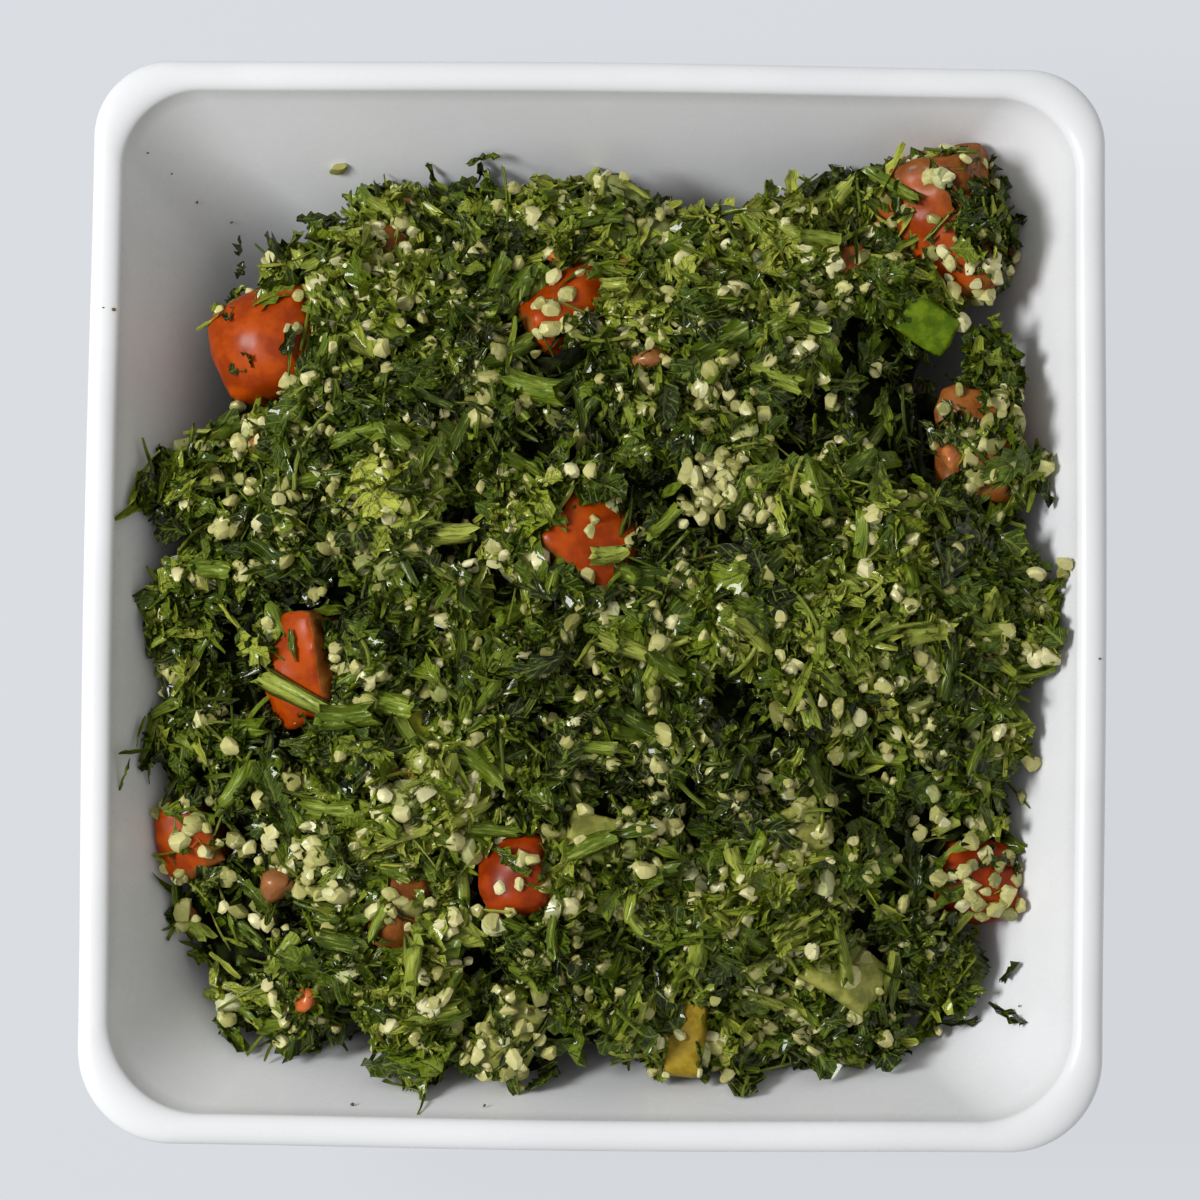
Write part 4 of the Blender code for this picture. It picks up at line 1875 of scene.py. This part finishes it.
    def build(self) -> bpy.types.Object:
        """Loft the bowl through its levels and glaze it.

        Returns:
            The piece.
        """
        shape = bmesh.new()
        rings = [[shape.verts.new((p.x, p.y, height)) for p in self.outline(inset)]
                 for height, inset in self.levels()]
        for lower, upper in zip(rings, rings[1:]):
            for index in range(len(lower)):
                after = (index + 1) % len(lower)
                shape.faces.new((lower[index], lower[after], upper[after], upper[index]))
        shape.faces.new(rings[0])
        shape.faces.new(rings[-1])
        bmesh.ops.recalc_face_normals(shape, faces=shape.faces)
        mesh = bpy.data.meshes.new("bowl_glazed")
        shape.to_mesh(mesh)
        shape.free()
        mesh.shade_smooth()
        mesh.set_sharp_from_angle(angle=math.radians(self.SHARP))
        piece = show("bowl_glazed", mesh, PorcelainFinish().make())
        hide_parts(BOWL_NODE)
        return piece


# ----------------------------------------------------------------------------------- the tables

TOMATO = FleshFinish("tomato_flesh", skin=display(172, 70, 6), skin_deep=display(138, 48, 2),
                     flesh=display(142, 84, 32), flesh_deep=display(112, 60, 16), roughness=0.48,
                     gloss=0.15)
DEEP_TOMATO = replace(TOMATO, name="deep_tomato_flesh", skin=display(152, 54, 3),
                      skin_deep=display(116, 36, 1))
ONION = FleshFinish("onion_flesh", skin=display(154, 154, 74), skin_deep=display(114, 118, 46),
                    flesh=display(154, 154, 74), flesh_deep=display(114, 118, 46), roughness=0.36,
                    gloss=0.40, blotch=0.0022, glow=0.3)
FAR_ONION = FleshFinish("far_onion_flesh", skin=display(134, 140, 82), skin_deep=display(100, 108, 54),
                        flesh=display(134, 140, 82), flesh_deep=display(100, 108, 54), blotch=0.0022,
                        glow=0.3)
CUCUMBER = FleshFinish("cucumber_flesh", skin=display(104, 128, 16), skin_deep=display(74, 98, 8),
                       flesh=display(104, 128, 16), flesh_deep=display(74, 98, 8), blotch=0.0020)
PEPPER = FleshFinish("pepper_flesh", skin=display(166, 138, 34), skin_deep=display(140, 104, 18),
                     flesh=display(160, 136, 40), flesh_deep=display(132, 108, 22), blotch=0.0024)
GREEN_PEPPER = FleshFinish("green_pepper_flesh", skin=display(150, 152, 30),
                           skin_deep=display(118, 122, 16), flesh=display(150, 152, 36),
                           flesh_deep=display(118, 122, 20), blotch=0.0024)

DICE = (
    Dice("tomato_left_dome", TOMATO, Slot.TOMATO, skin=(-0.1, 0.1, 1.0), skin_from=-0.2, cover=0.25,
         rounds=34, ball=0.45),
    Dice("tomato_far_left", TOMATO, Slot.TOMATO, skin=DOWN, skin_from=0.4, cover=2.0),
    Dice("tomato_far_wedge", TOMATO, Slot.TOMATO, skin=(0.4, 0.2, 0.8), skin_from=0.2, cover=0.1),
    Dice("tomato_corner_block", TOMATO, Slot.TOMATO, skin=(-0.45, -0.5, 0.75), skin_from=0.93, cover=0.7),
    Dice("tomato_corner_bit", TOMATO, Slot.TOMATO, skin=DOWN, skin_from=0.4, cover=1.2),
    Dice("tomato_right_block", TOMATO, Slot.TOMATO, skin=DOWN, skin_from=0.6, cover=3.2),
    Dice("tomato_middle", TOMATO, Slot.TOMATO, skin=(0.5, 0.3, 0.7), skin_from=0.3, cover=0.5),
    Dice("tomato_left_wedge", TOMATO, Slot.TOMATO, skin=(-0.7, -0.3, 0.5), skin_from=0.35, cover=0.1),
    Dice("tomato_left_edge", TOMATO, Slot.TOMATO, skin=(-0.8, 0.1, 0.4), skin_from=0.4, cover=1.2),
    Dice("tomato_near_left", TOMATO, Slot.TOMATO, skin=DOWN, skin_from=0.4, cover=1.5),
    Dice("tomato_near_middle", DEEP_TOMATO, Slot.TOMATO, skin=(0.0, 0.1, 1.0), skin_from=0.0, cover=0.7),
    Dice("tomato_right_edge", DEEP_TOMATO, Slot.TOMATO, skin=(0.3, -0.3, 0.8), skin_from=0.1, cover=1.5),
    Dice("onion_far_strip", FAR_ONION, Slot.ONION, cover=2.0, pulp=0.00018, voxel=0.0004),
    Dice("onion_near_block", ONION, Slot.ONION, cover=1.6, pulp=0.00012, voxel=0.0004),
    Dice("onion_near_dice", ONION, Slot.ONION, cover=0.4, pulp=0.00012, voxel=0.0004),
    Dice("onion_near_petal", ONION, Slot.ONION, cover=0.5, pulp=0.00012, voxel=0.0004),
    Dice("onion_edge_ring", ONION, Slot.ONION, cover=2.2, pulp=0.00012, voxel=0.0004),
    Dice("cucumber_corner_dice", CUCUMBER, Slot.CUCUMBER, cover=0.6, pulp=0.0002, voxel=0.0004),
    Dice("pepper_left_strip", GREEN_PEPPER, Slot.PEPPER, cover=0.3, pulp=0.00015, voxel=0.0004),
    Dice("pepper_near_strip", PEPPER, Slot.PEPPER, cover=0.5, pulp=0.00015, voxel=0.0004),
)

LEAF_TINTS = tints((0.00, 7, 12, 1), (0.25, 28, 45, 3), (0.50, 70, 92, 8), (0.75, 121, 139, 24),
                   (1.00, 178, 185, 72))
GRAIN_TINTS = tints((0.0, 128, 127, 66), (0.3, 168, 165, 94), (0.7, 196, 191, 124), (1.0, 218, 213, 162))
ONION_TINTS = tints((0.0, 124, 130, 60), (0.5, 160, 164, 98), (1.0, 196, 198, 148))
STEM_TINTS = tints((0.0, 54, 72, 6), (0.5, 102, 122, 16), (1.0, 164, 172, 70))
PULP_TINTS = tints((0.0, 128, 82, 42), (0.6, 172, 104, 54), (1.0, 200, 92, 36))
CRUMB_TINTS = tints((0.0, 84, 58, 30), (1.0, 150, 118, 60))

LEAF_DARK = FragmentFinish("parsley_dark", LEAF_TINTS, tip=display(118, 134, 40), tip_share=0.55,
                           roughness=0.44, shine=0.12, gloss=0.40, gloss_roughness=0.09, ridge=0.00050,
                           across=330.0, along=14.0, vein=0.55)
LEAF_MID = replace(LEAF_DARK, name="parsley_mid", tip=display(158, 168, 70), tip_share=0.60, vein=0.60)
BROAD = FragmentFinish("parsley_broad", LEAF_TINTS, tip=display(132, 146, 58), tip_share=0.50,
                       roughness=0.42, shine=0.15, gloss=0.46, gloss_roughness=0.08, ridge=0.00060,
                       across=420.0, along=9.0, vein=0.65, veins=8.0)
STRIP = FragmentFinish("parsley_strip", LEAF_TINTS, tip=display(160, 170, 70), tip_share=0.55,
                       roughness=0.44, shine=0.15, gloss=0.30, gloss_roughness=0.11, ridge=0.00045,
                       across=420.0, along=2.5, vein=0.35, veins=1.0)
STEM = FragmentFinish("stem", STEM_TINTS, tip=display(186, 192, 96), tip_share=0.60, roughness=0.40,
                      shine=0.35, gloss=0.25, gloss_roughness=0.13, ridge=0.00045, across=620.0, along=2.0,
                      low_streak_shade=0.85)
GRAIN = FragmentFinish("bulgur", GRAIN_TINTS, tip=display(210, 204, 158), tip_share=0.5, roughness=0.42,
                       shine=0.40, gloss=0.25, gloss_roughness=0.15, ridge=0.00012, across=130.0, along=4.0,
                       glow=0.25, low_streak_shade=0.4, glint=(1.0, 1.0, 0.85))
ONION_BIT = FragmentFinish("onion_bits", ONION_TINTS, tip=display(200, 202, 150), tip_share=0.4,
                           roughness=0.35, shine=0.4, gloss=0.35, gloss_roughness=0.12, ridge=0.00010,
                           across=200.0, glow=0.3, glint=(1.0, 1.0, 0.85))
PULP = replace(ONION_BIT, name="tomato_pulp", tints=PULP_TINTS, tip=display(190, 124, 70), glow=0.15,
               glint=(1.0, 0.8, 0.6))
CRUMB = FragmentFinish("brown_crumbs", CRUMB_TINTS, tip=display(120, 92, 46), tip_share=0.3, roughness=0.6,
                       shine=0.2, gloss=0.1, gloss_roughness=0.3, ridge=0.00005)

# A cluster has its middle, its reach, how many and its lift. A lone one has its place, turn, size,
# tint and lift.
GRAIN_CLUSTERS = (
    Cluster((0.0167, 0.0285), 0.0045, 16, 0.0018),
    Cluster((0.0167, 0.0165), 0.0065, 44, 0.0022),
    Cluster((-0.0450, 0.0100), 0.0050, 20, 0.0018),
    Cluster((-0.0400, -0.0360), 0.0080, 40, 0.0016),
    Cluster((0.0610, 0.0025), 0.0034, 14, 0.0020),
    Cluster((-0.0050, 0.0410), 0.0060, 12, 0.0008),
    Cluster((0.0520, 0.0480), 0.0060, 14, 0.0008),
    Cluster((0.0530, -0.0370), 0.0060, 14, 0.0008),
    Cluster((-0.0300, 0.0370), 0.0070, 16, 0.0014),
    Cluster((-0.0050, -0.0370), 0.0050, 8, 0.0006),
)
SPILLS = (
    Cluster((-0.0580, 0.0164), 0.0046, 32, 0.0024),
    Cluster((-0.0565, -0.0020), 0.0050, 32, 0.0024),
    Cluster((-0.0585, -0.0197), 0.0050, 32, 0.0022),
    Cluster((0.0575, 0.0030), 0.0040, 32, 0.0024),
    Cluster((0.0540, 0.0335), 0.0040, 20, 0.0024),
    Cluster((-0.0225, -0.0620), 0.0040, 20, 0.0020),
    Cluster((-0.0190, 0.0555), 0.0050, 26, 0.0024),
    Cluster((0.0350, 0.0560), 0.0050, 24, 0.0022),
    Cluster((0.0535, 0.0540), 0.0040, 22, 0.0030),
    Cluster((0.0490, -0.0500), 0.0060, 24, 0.0020),
)
LOOSE_LEAVES = (
    Lone((-0.0504, 0.0509), 88.0, 0.75, 0.15),
    Lone((-0.0500, 0.0474), 70.0, 0.60, 0.20),
    Lone((-0.0512, 0.0427), 95.0, 0.60, 0.15),
    Lone((-0.0509, 0.0397), 80.0, 0.60, 0.20),
    Lone((-0.0405, 0.0547), -6.0, 0.60, 0.25),
    Lone((-0.0371, 0.0538), 30.0, 0.35, 0.30),
    Lone((-0.0336, 0.0583), 20.0, 0.75, 0.30),
    Lone((-0.0326, 0.0548), 70.0, 0.70, 0.55),
    Lone((-0.0423, 0.0358), 60.0, 0.85, 0.20, 0.0008),
    Lone((-0.0489, 0.0328), 40.0, 0.75, 0.25, 0.0008),
)
GRAINS_ALONE = (
    Lone((-0.0367, 0.0617), 10.0, 0.9, 0.2, 0.0003),
    Lone((-0.0372, 0.0358), 40.0, 1.1, 0.6, 0.0006),
)
SCRAPS = (
    Lone((-0.0388, -0.0548), 70.0, 1.6, 0.95, 0.0012),
    Lone((-0.0427, -0.0388), 80.0, 1.7, 0.20, 0.0010),
    Lone((0.0075, 0.0335), 10.0, 1.5, 0.10, 0.0004),
)
CRUMBS = (
    Lone((-0.0624, 0.0619), 0.0, 0.7, 0.1, 0.0),
    Lone((-0.0594, 0.0598), 40.0, 0.5, 0.3, 0.0),
    Lone((-0.0562, 0.0567), 70.0, 0.6, 0.2, 0.0),
    Lone((-0.0517, 0.0547), 20.0, 0.7, 0.4, 0.0),
    Lone((-0.0678, 0.0397), 5.0, 0.8, 0.2, 0.0),
    Lone((-0.0664, 0.0395), 0.0, 0.9, 0.6, 0.0),
    Lone((0.0690, -0.0071), 10.0, 0.9, 0.1, 0.0),
    Lone((0.0273, 0.0587), 10.0, 0.9, 0.7, 0.0),
    Lone((-0.0323, -0.0687), 0.0, 0.8, 0.3, 0.0),
    Lone((-0.0143, -0.0687), 50.0, 0.7, 0.3, 0.0),
    Lone((0.0590, -0.0543), 30.0, 0.8, 0.8, 0.0),
)
THICK_STEMS = (
    Lone((0.0362, 0.0095), 88.0, 1.25, 0.55, 0.0012),
    Lone((-0.0205, 0.0093), -4.0, 1.20, 0.95, 0.0012),
    Lone((-0.0088, 0.0292), -18.0, 1.15, 0.45, 0.0012),
    Lone((0.0311, -0.0043), 85.0, 1.20, 0.75, 0.0010),
    Lone((0.0244, 0.0310), -25.0, 1.00, 0.70, 0.0012),
    Lone((0.0020, 0.0060), 10.0, 1.00, 0.85, 0.0022),
    Lone((-0.0410, -0.0130), -20.0, 1.30, 0.80, 0.0014),
    Lone((-0.0280, -0.0145), -12.0, 1.30, 0.50, 0.0016),
    Lone((-0.0150, -0.0230), -40.0, 1.30, 0.40, 0.0016),
    Lone((-0.0240, -0.0205), -55.0, 1.25, 0.60, 0.0012),
    Lone((0.0000, -0.0335), 25.0, 1.10, 0.35, 0.0012),
)


def scattered_kinds() -> list[Scatter]:
    """Every kind of fragment, deepest first.

    Returns:
        The kinds.
    """
    flake = Ribbon(rows=7, columns=5, length=(0.0036, 0.0074), width=(0.0010, 0.0026), teeth=0.62,
                   lead=0.08, fold=(10.0, 65.0), curl=140.0, twist=80.0, crumple=0.00038)
    broad = Ribbon(rows=9, columns=5, length=(0.0060, 0.0105), width=(0.0018, 0.0034), teeth=0.50,
                   lead=0.12, fold=(8.0, 45.0), curl=120.0, twist=60.0, crumple=0.00042)
    strip = Ribbon(rows=7, columns=4, length=(0.0045, 0.0095), width=(0.0005, 0.0011), teeth=0.25,
                   lead=0.05, fold=(20.0, 70.0), curl=60.0, twist=80.0, crumple=0.00010, ridges=0.00014)
    stem = Stalk(rows=5, sides=10, length=(0.0038, 0.0088), radius=(0.0007, 0.0014), ribs=0.20, fray=0.0010,
                 curl=26.0, flat=0.45)
    thin = Stalk(rows=7, sides=5, length=(0.0050, 0.0130), radius=(0.00020, 0.00040), ribs=0.05,
                 fray=0.0003, curl=70.0)
    grain = Pebble(detail=2, size=(0.0016, 0.0031), stretch=(0.66, 0.55), chips=9, chip_depth=(0.42, 0.78))
    bit = Pebble(detail=2, size=(0.0022, 0.0044), stretch=(0.60, 0.40), chips=8, chip_depth=(0.40, 0.74))
    crumb = Pebble(detail=1, size=(0.0005, 0.0009), stretch=(0.4, 0.3), chips=3, chip_depth=(0.50, 0.85))
    return [
        Scatter("parsley_dark_flakes", flake, LEAF_DARK, Slot.HERBS, count=3100, variety=26,
                depth=(0.0011, 0.0010), tilt=0.45, tint=(0.0, 0.55), seed=101, clusters=SPILLS,
                lone=LOOSE_LEAVES, cover=0.05),
        Scatter("parsley_mid_flakes", flake, LEAF_MID, Slot.HERBS, count=3200, variety=26,
                depth=(0.0003, 0.0010), tilt=0.45, tint=(0.25, 0.95), seed=102, clusters=SPILLS, cover=0.06),
        Scatter("parsley_broad_leaves", broad, BROAD, Slot.HERBS, count=900, variety=22,
                depth=(0.0000, 0.0009), tilt=0.40, tint=(0.05, 0.80), seed=103, cover=0.02),
        Scatter("parsley_strips", strip, STRIP, Slot.HERBS, count=3600, variety=26, depth=(0.0003, 0.0009),
                tilt=0.36, tint=(0.25, 1.05), seed=104, clusters=SPILLS, cover=0.05, stray=0.5),
        Scatter("parsley_stems", stem, STEM, Slot.HERBS, count=700, variety=18, depth=(0.0002, 0.0009),
                tilt=0.24, tint=(0.0, 0.9), seed=105, lone=THICK_STEMS, cover=0.04, stray=0.5),
        Scatter("thin_stalks", thin, STEM, Slot.HERBS, count=620, variety=14, depth=(0.0, 0.0007),
                tilt=0.22, tint=(0.1, 1.0), seed=106, cover=0.10),
        Scatter("bulgur_grains", grain, GRAIN, Slot.HERBS, count=2150, variety=28, depth=(-0.0002, 0.0007),
                tilt=0.6, tint=(0.0, 1.0), seed=107, clusters=GRAIN_CLUSTERS, lone=GRAINS_ALONE,
                sizes=(0.75, 1.2), cover=0.45, crease=24.0),
        Scatter("onion_dice_small", bit, ONION_BIT, Slot.ONION, count=190, variety=12,
                depth=(0.0005, 0.0006), tilt=0.3, tint=(0.0, 1.0), seed=108, crease=28.0),
        Scatter("tomato_pulp_bits", bit, PULP, Slot.TOMATO, count=50, variety=8, depth=(0.0008, 0.0005),
                tilt=0.3, tint=(0.0, 1.0), seed=109, lone=SCRAPS),
        Scatter("crumbs_on_glaze", crumb, CRUMB, Slot.HERBS, count=0, variety=6, depth=(0.0, 0.0001),
                tilt=0.1, tint=(0.0, 1.0), seed=110, lone=CRUMBS),
    ]


# ------------------------------------------------------------------------------------- the studio

@dataclass
class Studio:
    """Floor, light and camera.

    Attributes:
        elevation: How far the camera stands over the horizon, in degrees.
        distance: How far it stands from the rim, in metres.
        roll: Turn about its own axis, in degrees.
        frame_width: What it takes in at the rim, in metres.
        aim: Where it aims, in metres.
        key_way: Direction towards the key light from the bowl.
        key_far: How far the key light hangs, in metres.
        key_size: Side of the key light, in metres.
        key_power: Power of the key light, in watts.
        sky: Strength of the light from all round.
        sky_colour: Colour of the light from all round.
        floor_half: Half the side of the backdrop, in metres.
        floor_drop: How far the backdrop lies under the bowl, in metres.
    """

    elevation: float = 85.0
    distance: float = 0.80
    roll: float = 0.6
    frame_width: float = 0.1638
    aim: tuple[float, float, float] = (0.0007, 0.0002, 0.050)
    key_way: tuple[float, float, float] = (-0.68, 0.03, 0.73)
    key_far: float = 1.0
    key_size: float = 0.30
    key_power: float = 8.9
    sky: float = 0.49
    sky_colour: Colour = (1.0, 0.995, 0.985)
    floor_half: float = 3.0
    floor_drop: float = 0.0002

    SENSOR = 36.0
    NEAREST = 0.01

    def build(self) -> None:
        """Set the floor, the lights, the colours and the camera."""
        self._floor()
        self._key_light()
        world = bpy.data.worlds.new("studio")
        world.use_nodes = True
        back = world.node_tree.nodes["Background"]
        back.inputs["Color"].default_value = (*self.sky_colour, 1.0)
        back.inputs["Strength"].default_value = self.sky
        scene = bpy.context.scene
        scene.world = world
        scene.view_settings.view_transform = "Standard"
        self._camera()

    def _floor(self) -> None:
        """Lay the backdrop."""
        shape = bmesh.new()
        bmesh.ops.create_grid(shape, x_segments=8, y_segments=8, size=self.floor_half)
        mesh = bpy.data.meshes.new("floor")
        shape.to_mesh(mesh)
        shape.free()
        mesh.materials.append(FloorFinish().make())
        floor = bpy.data.objects.new("floor", mesh)
        floor.location.z = -self.floor_drop
        bpy.context.scene.collection.objects.link(floor)

    def _key_light(self) -> None:
        """Hang the soft square key light."""
        light = bpy.data.lights.new("key", "AREA")
        light.size = self.key_size
        light.energy = self.key_power
        lamp = bpy.data.objects.new("key", light)
        target = Vector(self.aim)
        lamp.location = target + Vector(self.key_way).normalized() * self.key_far
        lamp.rotation_euler = (target - lamp.location).to_track_quat("-Z", "Y").to_euler()
        bpy.context.scene.collection.objects.link(lamp)

    def _camera(self) -> None:
        """Set the camera over the bowl."""
        lens = bpy.data.cameras.new("camera")
        lens.sensor_width = self.SENSOR
        lens.lens = self.SENSOR * self.distance / self.frame_width
        lens.clip_start = self.NEAREST
        camera = bpy.data.objects.new("camera", lens)
        rise = math.radians(self.elevation)
        target = Vector(self.aim)
        camera.location = target + self.distance * Vector((0.0, -math.cos(rise), math.sin(rise)))
        facing = (target - camera.location).to_track_quat("-Z", "Y").to_matrix()
        spin = Matrix.Rotation(math.radians(self.roll), 3, "Z")
        camera.rotation_euler = (facing @ spin).to_euler()
        bpy.context.scene.collection.objects.link(camera)
        bpy.context.scene.camera = camera


def report(piece: bpy.types.Object) -> None:
    """Log a finished piece's name and how many faces it has."""
    LOG.info("%s: %d faces", piece.name, len(piece.data.polygons))


def main() -> None:
    """Build every piece in order, then the studio."""
    logging.basicConfig(level=logging.INFO, format="%(message)s")
    report(Bowl().build())
    ground = Ground([dice.node for dice in DICE])
    heap = Heap(ground, {dice.node: dice.cover for dice in DICE})
    report(Core(heap).build())
    for dice in DICE:
        report(dice.build())
    for scatter in scattered_kinds():
        report(scatter.build(heap))
    Studio().build()


if __name__ == "__main__":
    main()
